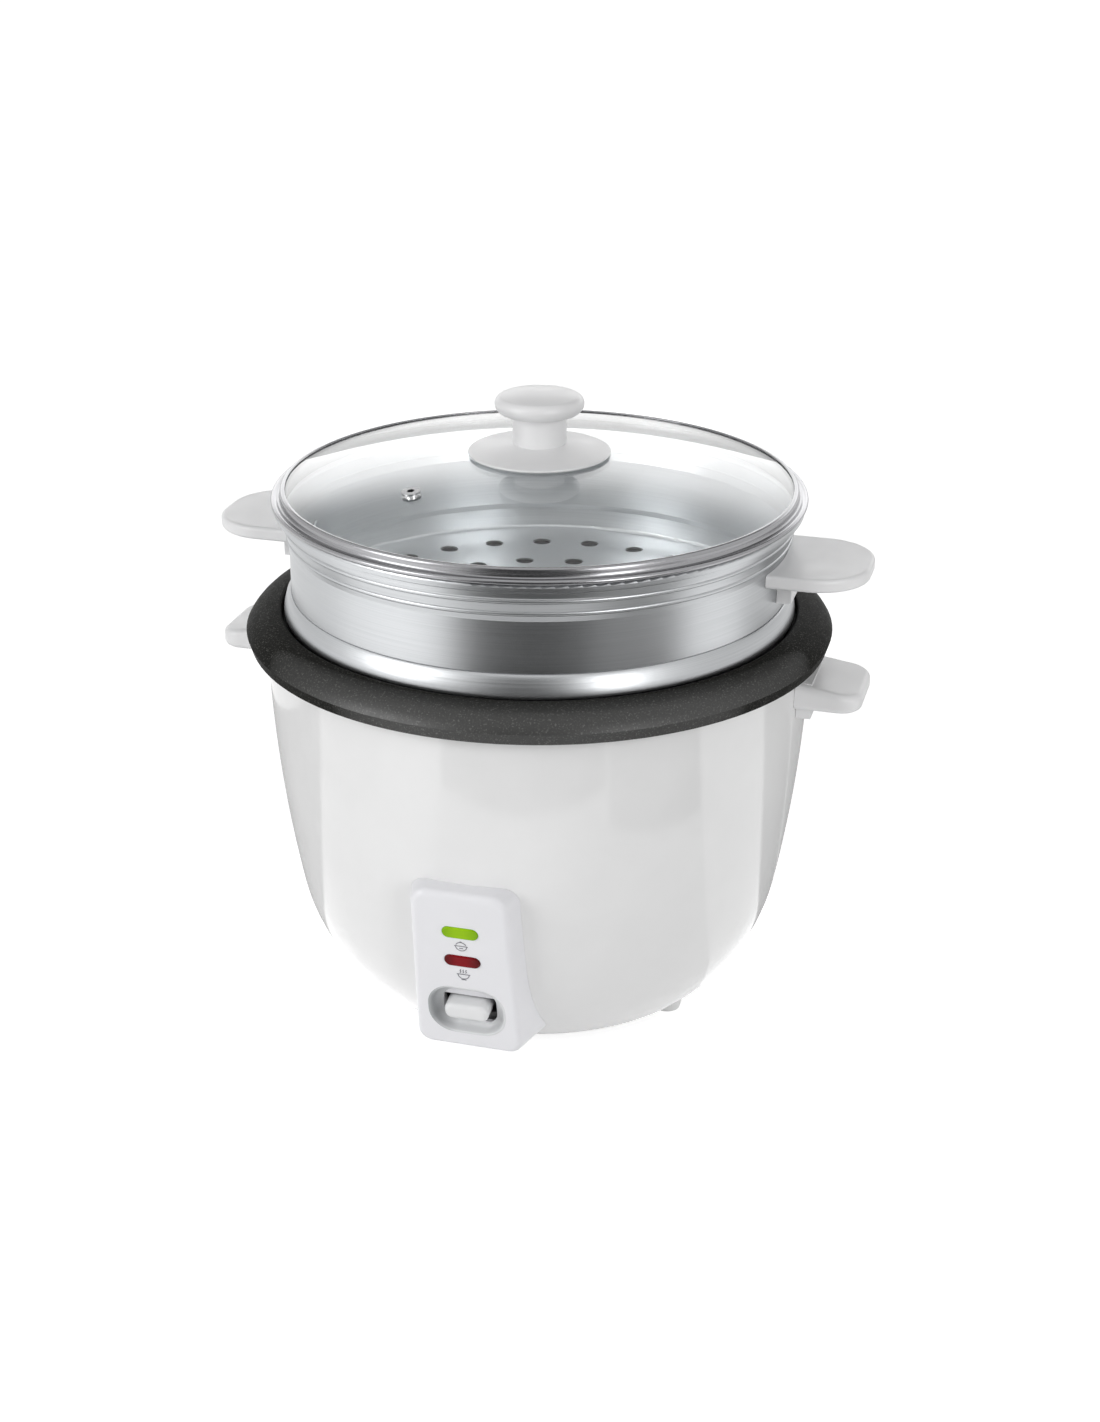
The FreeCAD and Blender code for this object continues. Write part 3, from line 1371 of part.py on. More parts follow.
def inner_pot():
    wall = D.pot_wall
    rise = slope(D.pot_taper)
    under_ledge = ledge - wall
    widest = crest - D.flange_fall
    lip_low = widest - D.flange_lip
    mouth_outer = ledge_radius + wall
    finish(lathe(
        "inner_pot",
        (0, pot_low),
        (D.pot_floor_radius, pot_low),
        (bend_radius, bend_height, D.pot_corner_radius),
        (pot_mouth - rise * wall, under_ledge),
        (mouth_outer, under_ledge),
        (mouth_outer, crest - wall - D.flange_crown),
        (flange_radius - wall, widest, D.flange_crown - D.flange_arc),
        (flange_radius - D.flange_lip_inset - wall, lip_low),
        (flange_radius - D.flange_lip_inset, lip_low),
        (flange_radius, widest),
        (ledge_radius + D.flange_crown, crest, D.flange_arc),
        (ledge_radius, crest - D.flange_crown, D.flange_crown),
        (ledge_radius, ledge),
        (pot_mouth - wall, ledge),
        (bend_radius - wall, bend_height),
        (D.pot_floor_radius, pot_low + wall, wall - D.pot_corner_radius),
        (0, pot_low + wall),
    ))


def steamer():
    wall = D.steamer_wall
    bead_low = steamer_top - D.bead_height
    basket = lathe(
        "basket_blank",
        (0, steamer_low),
        (band_radius - D.steamer_corner, steamer_low),
        (band_radius, steamer_low + D.steamer_corner, D.steamer_corner),
        (band_radius, steamer_low + D.band_height),
        (wall_radius, wall_foot),
        (wall_radius, shoulder_low),
        (mouth_radius, shoulder_high),
        (mouth_radius, bead_low - D.bead_slope),
        (bead_edge, bead_low),
        (bead_edge, steamer_top - D.bead_radius),
        (bead_edge - D.bead_radius, steamer_top, D.bead_radius),
        (mouth_radius - wall, steamer_top),
        (mouth_radius - wall, shoulder_high),
        (wall_radius - wall, shoulder_low),
        (wall_radius - wall, wall_foot),
        (band_radius - wall, steamer_low + D.band_height),
        (band_radius - wall, steamer_low + D.steamer_corner),
        (band_radius - D.steamer_corner, steamer_low + wall, wall - D.steamer_corner),
        (0, steamer_low + wall),
    )
    rings = [
        (D.outer_ring_radius, D.outer_ring_count),
        (D.middle_ring_radius, D.middle_ring_count),
        (D.inner_ring_radius, D.inner_ring_count),
    ]
    for radius, count in rings:
        hole = pocket(basket, "XY_Plane", steamer_low + wall * 2, wall * 3, (0, radius, D.hole_radius))
        ring_of(basket, hole, count)
    length = wall * 2 + D.rivet_bite
    cutters = []
    rivets = []
    for name, side in SIDES.items():
        turn = QUARTER_TURN * side
        body = add("PartDesign::Body", f"tab_blank_{name}")
        start = wall_radius - D.tab_root
        tip = wall_radius + D.tab_reach
        flat = tab(start, tip, D.tab_width / 2, D.tab_corner)
        pad(body, "XY_Plane", tab_low, D.tab_thickness, flat)
        round_edges(body, D.tab_edge, level_edges_beyond(wall_radius))
        leg_tip = wall_radius + D.tab_leg_reach
        corners = [
            (start, -D.tab_leg_half),
            (leg_tip, -D.tab_leg_half),
            (leg_tip, D.tab_leg_half),
            (start, D.tab_leg_half),
        ]
        pad(body, "XY_Plane", leg_low, D.tab_leg_drop + D.tab_thickness / 2, corners)
        place(body, axis=Z_AXIS, angle=0 if side > 0 else FULL_TURN / 2)
        trims = [cylinder(f"tab_trim_{name}", wall_radius + D.joint_gap, D.steamer_height, z=steamer_low)]
        for spot in rivet_spots(side):
            hole = D.rivet_shank + D.joint_gap
            cutters.append(bore(f"basket_hole_{name}", spot, Y_AXIS, turn, hole, wall * 3))
            hole = D.rivet_shank + D.pin_fit
            trims.append(bore(f"tab_hole_{name}", spot, Y_AXIS, turn, hole, length + D.joint_gap))
            rivets.append(fastener(
                f"steamer_rivet_{name}",
                spot,
                Y_AXIS,
                turn,
                D.rivet_shank,
                D.rivet_head,
                D.rivet_head_height,
                length,
            ))
        finish(cut(f"steamer_handle_{name}", body, *trims))
    finish(cut("steamer_basket", basket, *cutters))
    finish(group("steamer_rivets", *rivets))


def lid():
    sheet_top = rim_low + D.rim_sheet
    riser_in = glass_radius + D.joint_gap
    riser_out = riser_in + D.rim_sheet
    clamp_in = riser_in - D.rim_leg_width
    clamp_rise = D.rim_leg_width * D.glass_rise * 2 / glass_radius
    clamp_low = glass_edge + D.joint_gap
    clamp_high = clamp_low + D.rim_sheet
    finish(lathe(
        "lid_rim",
        (lip_inner, rim_low - D.rim_lip_drop),
        (lip_radius, rim_low - D.rim_lip_drop),
        (lip_radius, rim_low),
        (rim_radius - D.rim_edge, rim_low),
        (rim_radius, rim_low + D.rim_edge, D.rim_edge),
        (rim_radius, rim_low + D.rim_flange_height - D.rim_edge),
        (rim_radius - D.rim_edge, rim_low + D.rim_flange_height, D.rim_edge),
        (riser_out + D.rim_edge, sheet_top),
        (riser_out, sheet_top + D.rim_edge, -D.rim_edge),
        (riser_out, clamp_high - D.rim_edge),
        (riser_out - D.rim_edge, clamp_high, D.rim_edge),
        (clamp_in, clamp_high + clamp_rise),
        (clamp_in, clamp_low + clamp_rise),
        (riser_in, clamp_low),
        (riser_in, sheet_top),
        (lip_inner, sheet_top),
    ))
    blank = lathe(
        "glass_blank",
        (0, apex - D.glass_thickness),
        (glass_radius, glass_low, -glass_sphere),
        (glass_radius, glass_edge),
        (0, apex, glass_sphere),
    )
    tilt = arcsine(D.vent_distance / glass_sphere)
    vent_height = apex - glass_sphere * (1 - cosine(tilt))
    vent_x = D.vent_distance * cosine(D.vent_bearing)
    vent_y = D.vent_distance * sine(D.vent_bearing)
    spot = (vent_x, vent_y, vent_height)
    bearing = math.radians(D.vent_bearing.value)
    lean_axis = Vector(-math.sin(bearing), math.cos(bearing), 0)
    vent_hole = add("PartDesign::Body", "vent_hole")
    through = D.glass_thickness * 3
    round_hole = (0, 0, D.vent_tube + D.joint_gap)
    pad(vent_hole, "XY_Plane", -D.glass_thickness * 2, through, round_hole)
    place(vent_hole, *spot, lean_axis, tilt)
    knob_hole = cylinder("glass_knob_hole", D.knob_hole, through, z=apex - D.glass_thickness * 2)
    finish(cut("lid_glass", blank, vent_hole, knob_hole))
    low = -D.glass_thickness - D.joint_gap
    eyelet = lathe(
        "vent_eyelet",
        (D.vent_bore, low - D.vent_sheet),
        (D.vent_flange, low - D.vent_sheet),
        (D.vent_flange, low),
        (D.vent_tube, low),
        (D.vent_tube, D.joint_gap),
        (D.vent_flange, D.joint_gap),
        (D.vent_flange, D.joint_gap + D.vent_sheet),
        (D.vent_bore, D.joint_gap + D.vent_sheet),
    )
    finish(place(eyelet, *spot, lean_axis, tilt))


def knob():
    hole = D.screw_radius + D.pin_fit
    skirt_fall = D.skirt_radius * D.skirt_radius / (2 * glass_sphere)
    edge_low = apex - skirt_fall + D.skirt_lift
    stem_top = skirt_top + D.stem_height
    widest = stem_top + D.knob_under
    crown_edge = D.knob_radius - D.knob_shoulder
    crown_arc = (crown_edge * crown_edge + D.knob_crown * D.knob_crown) / (2 * D.knob_crown)
    shoulder_top = widest + D.knob_shoulder
    finish(lathe(
        "knob_gasket",
        (hole, apex),
        (D.gasket_radius, apex),
        (D.gasket_radius, skirt_low),
        (hole, skirt_low),
    ))
    finish(lathe(
        "knob_skirt",
        (hole, skirt_low),
        (D.gasket_radius, skirt_low),
        (D.skirt_radius - D.skirt_edge / 2, edge_low),
        (D.skirt_radius, edge_low + D.skirt_edge / 2, D.skirt_edge / 2),
        (D.skirt_radius - D.skirt_edge / 2, edge_low + D.skirt_edge, D.skirt_edge / 2),
        (D.stem_radius, skirt_top),
        (hole, skirt_top),
    ))
    hole_top = skirt_top + D.screw_bite + D.joint_gap
    finish(lathe(
        "lid_knob",
        (hole, skirt_top),
        (D.stem_radius, skirt_top),
        (D.stem_radius, stem_top),
        (D.knob_radius - D.knob_under, stem_top),
        (D.knob_radius, widest, D.knob_under),
        (crown_edge, shoulder_top, D.knob_shoulder),
        (0, shoulder_top + D.knob_crown, crown_arc),
        (0, hole_top),
        (hole, hole_top),
    ))
    washer_low = apex - D.glass_thickness - D.washer_thickness
    finish(lathe(
        "knob_washer",
        (hole, washer_low),
        (D.washer_radius, washer_low),
        (D.washer_radius, apex - D.glass_thickness - D.joint_gap),
        (hole, apex - D.glass_thickness - D.joint_gap),
    ))
    length = skirt_top + D.screw_bite - washer_low
    spot = (0, 0, washer_low)
    finish(fastener(
        "knob_screw", spot, Z_AXIS, 0, D.screw_radius, D.screw_head, D.screw_head_height, length
    ))


def underside_parts():
    height = plate_low - D.joint_gap
    finish(cylinder(
        "thermal_fuse",
        D.fuse_radius,
        D.fuse_length,
        D.underside_spread,
        -D.fuse_length / 2,
        height - D.fuse_radius,
        X_AXIS,
        -QUARTER_TURN,
    ))
    half = D.resistor_side / 2
    finish(box(
        "keep_warm_resistor",
        (-D.underside_spread - half, half - D.underside_spread),
        (-D.resistor_length / 2, D.resistor_length / 2),
        (height - D.resistor_side, height),
    ))


def wiring():
    tails = {name: (x, inlet_back - D.blade_tail, z) for name, (x, z) in blade_spots().items()}
    x, y, z = tails["live"]
    block_end = D.leaf_arm - D.rivet_radius + D.block_length
    wire_run("live_wire", [
        (x, y, z),
        (x, y - 12, z),
        (x + 15, y - 28, z - 5),
        (x + 32, y - 46, z - 8),
        (x + 43, y - 72, z - 9),
        (x + 46, y - 104, z - 9),
        (x + 42, y - 134, z - 8),
        (x + 37, y - 155, z - 6),
        (block_end + 11, contact_y, z - 5),
        (block_end, contact_y, z - 5),
    ])
    x, y, z = tails["neutral"]
    end_x, end_y, end_z = terminal_spot(-1)
    wire_run("neutral_wire", [
        (x, y, z),
        (x, y - 9, z),
        (x - 7, y - 19, z + 1),
        (end_x, end_y, end_z - 13),
        (end_x, end_y, end_z),
    ])
    end_x, end_y, end_z = terminal_spot(1)
    wire_run("element_wire", [
        (block_end, contact_y + 4, z + 4),
        (block_end + 10, contact_y + 4, z + 4),
        (block_end + 17, contact_y + 13, z + 4),
        (block_end + 20, contact_y + 32, z + 5),
        (block_end + 23, contact_y + 60, z + 4),
        (block_end + 19, contact_y + 90, z + 2),
        (block_end + 6, contact_y + 114, z + 1),
        (end_x, end_y, end_z - 15),
        (end_x, end_y, end_z),
    ])
    x, y, z = tails["earth"]
    wire_run("earth_wire", [
        (x, y, z),
        (x, y - 9, z),
        (x, y - 19, z - 6),
        (x, y - 23, z - 13),
        (x, y - 23, base_top),
    ])


def check_and_write():
    for item in doc.Objects:
        if "Invalid" in item.State or "Error" in item.State:
            raise RuntimeError(f"{item.Label} failed: {item.State}")
    for piece in finished:
        if piece.Shape.isNull() or not piece.Shape.isValid():
            raise RuntimeError(f"{piece.Label} has no valid shape")
    os.makedirs("parts", exist_ok=True)
    for piece in finished:
        piece.Shape.exportStep(f"parts/{piece.Label}.step")
    print(f"{len(finished)} pieces written")


def main():
    outer_casing()
    base_and_feet()
    inner_liner()
    heating()
    thermostat()
    switch()
    switch_paddle()
    control_panel()
    lamps()
    body_handles()
    power_inlet()
    inner_pot()
    steamer()
    lid()
    knob()
    underside_parts()
    wiring()
    doc.recompute()
    check_and_write()


main()
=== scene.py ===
import json
import math

import bmesh
import bpy
from mathutils import Matrix, Vector


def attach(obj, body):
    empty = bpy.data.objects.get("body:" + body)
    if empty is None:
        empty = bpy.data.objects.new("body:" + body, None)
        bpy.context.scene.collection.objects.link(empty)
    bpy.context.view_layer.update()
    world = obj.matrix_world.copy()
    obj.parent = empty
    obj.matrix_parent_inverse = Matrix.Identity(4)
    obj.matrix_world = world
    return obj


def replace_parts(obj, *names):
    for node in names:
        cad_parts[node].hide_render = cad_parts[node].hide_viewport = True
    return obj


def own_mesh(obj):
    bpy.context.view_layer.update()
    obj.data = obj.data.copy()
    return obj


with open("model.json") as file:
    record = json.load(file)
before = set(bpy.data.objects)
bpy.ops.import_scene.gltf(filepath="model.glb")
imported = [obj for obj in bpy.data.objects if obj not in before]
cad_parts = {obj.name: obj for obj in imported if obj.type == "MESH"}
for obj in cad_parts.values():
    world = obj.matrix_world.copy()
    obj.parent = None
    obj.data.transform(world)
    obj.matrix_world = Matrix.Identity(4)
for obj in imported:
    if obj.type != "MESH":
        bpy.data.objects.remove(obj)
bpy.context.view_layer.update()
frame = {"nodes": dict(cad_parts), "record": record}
scene = bpy.context.scene

MM = 0.001
WHITE = (1, 1, 1, 1)


# Node helpers

def material(name):
    made = bpy.data.materials.new(name)
    made.use_nodes = True
    return made, made.node_tree, made.node_tree.nodes["Principled BSDF"]


def join(tree, source, target):
    tree.links.new(source, target)


def noise(tree, scale, detail, stretch=(1, 1, 1)):
    """Noise over the piece's own coordinates, in metres."""
    place = tree.nodes.new("ShaderNodeTexCoord")
    mapping = tree.nodes.new("ShaderNodeMapping")
    mapping.inputs["Scale"].default_value = stretch
    pattern = tree.nodes.new("ShaderNodeTexNoise")
    pattern.inputs["Scale"].default_value = scale
    pattern.inputs["Detail"].default_value = detail
    join(tree, place.outputs["Object"], mapping.inputs["Vector"])
    join(tree, mapping.outputs["Vector"], pattern.inputs["Vector"])
    return pattern.outputs["Fac"]


def coordinate(tree, axis):
    """The piece's own X, Y or Z, in metres."""
    place = tree.nodes.new("ShaderNodeTexCoord")
    split = tree.nodes.new("ShaderNodeSeparateXYZ")
    join(tree, place.outputs["Object"], split.inputs["Vector"])
    return split.outputs[axis]


def ramp(tree, source, *stops):
    """Colours along a pattern. A stop is (position, colour)."""
    node = tree.nodes.new("ShaderNodeValToRGB")
    line = node.color_ramp.elements
    while len(line) < len(stops):
        line.new(0.5)
    for element, (position, colour) in zip(line, stops):
        element.position = position
        element.color = (*colour, 1)
    join(tree, source, node.inputs["Fac"])
    return node.outputs["Color"]


def rescale(tree, source, start, end, low, high, kind="LINEAR"):
    """A value that goes from low to high while the source goes from start to end."""
    node = tree.nodes.new("ShaderNodeMapRange")
    node.interpolation_type = kind
    for socket, value in (("From Min", start), ("From Max", end), ("To Min", low), ("To Max", high)):
        node.inputs[socket].default_value = value
    join(tree, source, node.inputs["Value"])
    return node.outputs["Result"]


def calculate(tree, operation, first, second):
    """A Math node on a socket and either a number or another socket."""
    node = tree.nodes.new("ShaderNodeMath")
    node.operation = operation
    join(tree, first, node.inputs[0])
    if isinstance(second, (int, float)):
        node.inputs[1].default_value = second
    else:
        join(tree, second, node.inputs[1])
    return node.outputs["Value"]


# Noise gathers around a half, so tones and values spread over its middle part
NOISE_LOW = 0.3
NOISE_HIGH = 0.7


def tones(tree, pattern, dark, light):
    return ramp(tree, pattern, (NOISE_LOW, dark), (NOISE_HIGH, light))


def spread(tree, pattern, low, high):
    return rescale(tree, pattern, NOISE_LOW, NOISE_HIGH, low, high)


def relief(tree, shader, source, strength, depth):
    node = tree.nodes.new("ShaderNodeBump")
    node.inputs["Strength"].default_value = strength
    node.inputs["Distance"].default_value = depth
    join(tree, source, node.inputs["Height"])
    join(tree, node.outputs["Normal"], shader.inputs["Normal"])


# Finishes

COAT_ROUGHNESS = 0.06
GRAIN_DETAIL = 3.0
GLOSS_DETAIL = 4.0
RELIEF_DETAIL = 2.0


def grained(name, dark, light, grain, rough, metal=0.0, fine=900, strength=0.05, depth=0.0001, coat=0.0):
    """A finish whose colour, gloss and relief vary with the grain."""
    made, tree, shader = material(name)
    gloss = noise(tree, grain * 3, GLOSS_DETAIL)
    join(tree, tones(tree, noise(tree, grain, GRAIN_DETAIL), dark, light), shader.inputs["Base Color"])
    join(tree, spread(tree, gloss, *rough), shader.inputs["Roughness"])
    relief(tree, shader, noise(tree, fine, RELIEF_DETAIL), strength, depth)
    shader.inputs["Metallic"].default_value = metal
    shader.inputs["Coat Weight"].default_value = coat
    shader.inputs["Coat Roughness"].default_value = COAT_ROUGHNESS
    return made


def enamel():
    return grained("white_enamel", (0.80, 0.80, 0.80), (0.83, 0.83, 0.83), 28, (0.07, 0.11),
                   fine=180, strength=0.03, depth=0.0002)


MOULD_GRAIN = 45
MOULD_ROUGH = (0.30, 0.40)
MOULD_FINE = 300
MOULD_STRENGTH = 0.03
MOULD_DEPTH = 0.00015


def moulded(name, dark, light):
    return grained(name, dark, light, MOULD_GRAIN, MOULD_ROUGH,
                   fine=MOULD_FINE, strength=MOULD_STRENGTH, depth=MOULD_DEPTH)


SPECK_SCALE = 1300
SPECK_TONES = ((0.42, (0.012, 0.012, 0.011)), (0.60, (0.020, 0.020, 0.018)), (0.74, (0.075, 0.075, 0.070)))


def non_stick():
    """Dark speckled coating, whose gloss goes where it is seen at a low angle."""
    made, tree, shader = material("speckled_non_stick")
    specks = noise(tree, SPECK_SCALE, 1.0)
    join(tree, ramp(tree, specks, *SPECK_TONES), shader.inputs["Base Color"])
    join(tree, spread(tree, noise(tree, 300, 3.0), 0.36, 0.46), shader.inputs["Roughness"])
    relief(tree, shader, specks, strength=0.06, depth=0.0001)
    weight = tree.nodes.new("ShaderNodeLayerWeight")
    weight.inputs["Blend"].default_value = 0.5
    gloss = rescale(tree, weight.outputs["Facing"], start=0.20, end=0.52, low=0.70, high=0.01)
    join(tree, gloss, shader.inputs["Specular IOR Level"])
    return made


FACING_LIMIT = 0.002


def inside_mask_for_painted_light(tree):
    """One where a surface faces the axis or lies level, else nought: this is where the painted lighter inside
    goes.
    """
    place = tree.nodes.new("ShaderNodeTexCoord")
    level = tree.nodes.new("ShaderNodeVectorMath")
    level.operation = "MULTIPLY"
    level.inputs[1].default_value = (1, 1, 0)
    outward = tree.nodes.new("ShaderNodeVectorMath")
    outward.operation = "DOT_PRODUCT"
    join(tree, place.outputs["Object"], level.inputs[0])
    join(tree, level.outputs["Vector"], outward.inputs[0])
    join(tree, place.outputs["Normal"], outward.inputs[1])
    return calculate(tree, "LESS_THAN", outward.outputs["Value"], FACING_LIMIT)


# Scale, detail and stretch of the noise that makes the lines of a lathe
LATHE_TONES = (12, 6.0, (1, 1, 260))
LATHE_GLOSS = (20, 5.0, (1, 1, 120))
LATHE_RELIEF = (16, 4.0, (1, 1, 420))


def spun(name, dark, light, rough, turned, inside_painted_light_gain=1.0):
    """Metal turned on a lathe: fine lines around the axis, and painted light that makes faces looking in towards
    the axis, or lying level, lighter by the gain.
    """
    made, tree, shader = material(name)
    lines = noise(tree, *LATHE_TONES)
    # Painted light: the inner tones are the outer ones brightened, which stands in for light that reaches inside.
    painted_lit_inner_dark, painted_lit_inner_light = ([part * inside_painted_light_gain for part in tone] for tone in (dark, light))
    blend = tree.nodes.new("ShaderNodeMix")
    blend.data_type = "RGBA"
    join(tree, inside_mask_for_painted_light(tree), blend.inputs["Factor"])
    join(tree, tones(tree, lines, dark, light), blend.inputs["A"])
    join(tree, tones(tree, lines, painted_lit_inner_dark, painted_lit_inner_light), blend.inputs["B"])
    join(tree, blend.outputs["Result"], shader.inputs["Base Color"])
    join(tree, spread(tree, noise(tree, *LATHE_GLOSS), *rough), shader.inputs["Roughness"])
    relief(tree, shader, noise(tree, *LATHE_RELIEF), strength=0.035, depth=0.00005)
    shader.inputs["Metallic"].default_value = 1.0
    shader.inputs["Anisotropic"].default_value = turned
    return made


GLASS_DARK = (0.955, 0.97, 0.965)
GLASS_LIGHT = (0.985, 0.99, 0.988)


def glass():
    made, tree, shader = material("clear_glass")
    film = noise(tree, 18, 3.0)
    join(tree, tones(tree, film, GLASS_DARK, GLASS_LIGHT), shader.inputs["Base Color"])
    join(tree, spread(tree, film, 0.0, 0.012), shader.inputs["Roughness"])
    shader.inputs["IOR"].default_value = 1.5
    shader.inputs["Transmission Weight"].default_value = 1.0
    return made


LENS_HALF_WIDTH = 0.0085
RECESS_HALF_WIDTH = 0.017


def across(tree, half_width):
    """Nought at the left edge of a piece in the middle of the panel, one at its right edge."""
    return rescale(tree, coordinate(tree, "X"), -half_width, half_width, 0, 1)


def recess_plastic_painted_shade(left, right):
    """White plastic with painted shade: greyer than the panel, and greyer still towards the left wall of the
    recess, where shadow falls.
    """
    made, tree, shader = material("recess_plastic_painted_shade")
    # Painted shade: dark at the recess's left wall, paler towards the right.
    painted_shade = ramp(tree, across(tree, RECESS_HALF_WIDTH), (0.04, left), (0.34, right))
    gloss = noise(tree, MOULD_GRAIN * 3, GLOSS_DETAIL)
    join(tree, painted_shade, shader.inputs["Base Color"])
    join(tree, spread(tree, gloss, *MOULD_ROUGH), shader.inputs["Roughness"])
    relief(tree, shader, noise(tree, MOULD_FINE, RELIEF_DETAIL), MOULD_STRENGTH, MOULD_DEPTH)
    return made


def lamp_lens(name, edge, middle):
    """Dyed clear plastic with a painted glow: lighter in its middle, which stands in for the light of the bulb
    behind it.
    """
    made, tree, shader = material(name)
    share = across(tree, LENS_HALF_WIDTH)
    # Painted glow: the middle colour is the dye as if lit by the bulb, painted into the base colour.
    dye_and_painted_glow = ramp(tree, share, (0.0, edge), (0.35, middle), (0.62, middle), (1.0, edge))
    join(tree, dye_and_painted_glow, shader.inputs["Base Color"])
    join(tree, spread(tree, noise(tree, 900, 2.0), 0.10, 0.16), shader.inputs["Roughness"])
    shader.inputs["Specular IOR Level"].default_value = 0.12
    return made


# Dark and light tone, grain, least and most roughness, metal, fine grain and strength of the relief
GRAINS = {
    "eyelet_steel": ((0.48, 0.48, 0.49), (0.62, 0.62, 0.63), 900, (0.18, 0.30), 1.0, 2500, 0.05),
    "zinc_steel": ((0.46, 0.46, 0.45), (0.62, 0.62, 0.60), 400, (0.28, 0.42), 1.0, 2500, 0.10),
    "base_paint": ((0.66, 0.66, 0.66), (0.72, 0.72, 0.72), 60, (0.40, 0.50), 0.0, 800, 0.12),
    "cast_aluminium": ((0.45, 0.45, 0.46), (0.58, 0.58, 0.59), 300, (0.38, 0.55), 1.0, 1600, 0.30),
    "spring_steel": ((0.35, 0.35, 0.36), (0.50, 0.50, 0.51), 700, (0.25, 0.38), 1.0, 2500, 0.10),
    "magnet_iron": ((0.10, 0.10, 0.11), (0.18, 0.18, 0.19), 500, (0.40, 0.55), 0.7, 2000, 0.20),
    "brass_contact": ((0.55, 0.38, 0.13), (0.68, 0.50, 0.20), 500, (0.22, 0.36), 1.0, 2500, 0.10),
    "board": ((0.20, 0.13, 0.05), (0.30, 0.20, 0.09), 800, (0.45, 0.60), 0.0, 2500, 0.10),
    "silicone": ((0.60, 0.60, 0.59), (0.68, 0.68, 0.67), 300, (0.50, 0.62), 0.0, 2000, 0.10),
    "ceramic": ((0.62, 0.60, 0.55), (0.72, 0.70, 0.66), 500, (0.50, 0.65), 0.0, 2500, 0.20),
    "wire_red": ((0.34, 0.015, 0.012), (0.44, 0.025, 0.02), 300, (0.35, 0.50), 0.0, 2500, 0.05),
    "wire_blue": ((0.02, 0.08, 0.34), (0.03, 0.12, 0.44), 300, (0.35, 0.50), 0.0, 2500, 0.05),
    "wire_white": ((0.62, 0.62, 0.60), (0.70, 0.70, 0.68), 300, (0.45, 0.60), 0.0, 2500, 0.05),
    "wire_green": ((0.05, 0.25, 0.04), (0.09, 0.36, 0.06), 300, (0.35, 0.50), 0.0, 2500, 0.05),
}
finishes = {name: grained(name, *row) for name, row in GRAINS.items()}
finishes.update({
    "white_paint": enamel(),
    "white_plastic": moulded("white_plastic", (0.79, 0.79, 0.795), (0.82, 0.82, 0.825)),
    "white_foot": moulded("white_foot", (0.80, 0.80, 0.80), (0.84, 0.84, 0.84)),
    "dark_plastic": moulded("dark_plastic", (0.03, 0.03, 0.032), (0.05, 0.05, 0.053)),
    # The lenses' lighter middles are a painted glow from the bulb behind them.
    "green_lens": lamp_lens("green_lens", (0.20, 0.42, 0.002), (0.31, 0.56, 0.004)),
    "red_lens": lamp_lens("red_lens", (0.07, 0.001, 0.002), (0.23, 0.002, 0.007)),
    "lamp_glass": grained("lamp_glass", (0.7, 0.5, 0.35), (0.8, 0.62, 0.48), 900, (0.1, 0.2), fine=2500, coat=0.6),
    "clear_glass": glass(),
    "non_stick": non_stick(),
    # The steamer's aluminium is painted lighter on its inner faces, which stands in for light that reaches inside.
    "satin_aluminium": spun("satin_aluminium", (0.40, 0.41, 0.42), (0.46, 0.47, 0.48), (0.30, 0.36),
                            turned=0.4, inside_painted_light_gain=1.75),
    "stainless": spun("stainless", (0.26, 0.26, 0.27), (0.35, 0.35, 0.36), (0.20, 0.28), turned=0.3),
})
own_finishes = {
    "control_panel": moulded("panel_plastic", (0.82, 0.82, 0.845), (0.84, 0.84, 0.865)),
    "switch_paddle": moulded("switch_plastic", (0.79, 0.795, 0.80), (0.82, 0.825, 0.83)),
    # The recess dish's greys are painted shade of the recess.
    "recess_dish": recess_plastic_painted_shade((0.36, 0.37, 0.38), (0.70, 0.71, 0.72)),
}


def dress(node, finish):
    piece = frame["nodes"][node]
    if not piece.material_slots:
        raise RuntimeError(f"{node} has no material slot")
    for slot in piece.material_slots:
        slot.material = finish


for row in frame["record"]["subparts"]:
    dress(row["node"], own_finishes.get(row["node"], finishes[row["material_slot"]]))


# Mesh helpers. Rings of points have the same length and follow one another along the piece.

def mesh_piece(name, rings, faces, finish, body):
    mesh = bpy.data.meshes.new(name)
    mesh.from_pydata([point for ring in rings for point in ring], [], faces)
    mesh.validate()
    shape = bmesh.new()
    shape.from_mesh(mesh)
    bmesh.ops.recalc_face_normals(shape, faces=shape.faces)
    shape.to_mesh(mesh)
    shape.free()
    for face in mesh.polygons:
        face.use_smooth = True
    mesh.materials.append(finish)
    piece = bpy.data.objects.new(name, mesh)
    scene.collection.objects.link(piece)
    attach(piece, body)
    return piece


def bridge(rings, closed=False):
    """Quads between the rings, and from the last to the first if closed."""
    size = len(rings[0])
    pairs = list(zip(range(len(rings)), range(1, len(rings))))
    if closed:
        pairs.append((len(rings) - 1, 0))
    faces = []
    for low, high in pairs:
        for step in range(size):
            after = (step + 1) % size
            faces.append((low * size + step, low * size + after, high * size + after, high * size + step))
    return faces


def end_caps(rings):
    size = len(rings[0])
    last = (len(rings) - 1) * size
    return [tuple(range(size)), tuple(range(last, last + size))]


PANEL_ORIGIN = Vector((0, -0.11299, 0.0135))
PANEL_TURN = Matrix.Rotation(math.radians(10.66), 4, "X")
SWITCH_UP = 0.0216
CORNER_STEPS = 10


def panel_place(x, up, inward):
    """A point of the panel's frame: its foot is the origin, the face is at inward 0."""
    return PANEL_ORIGIN + PANEL_TURN @ Vector((x, inward, up))


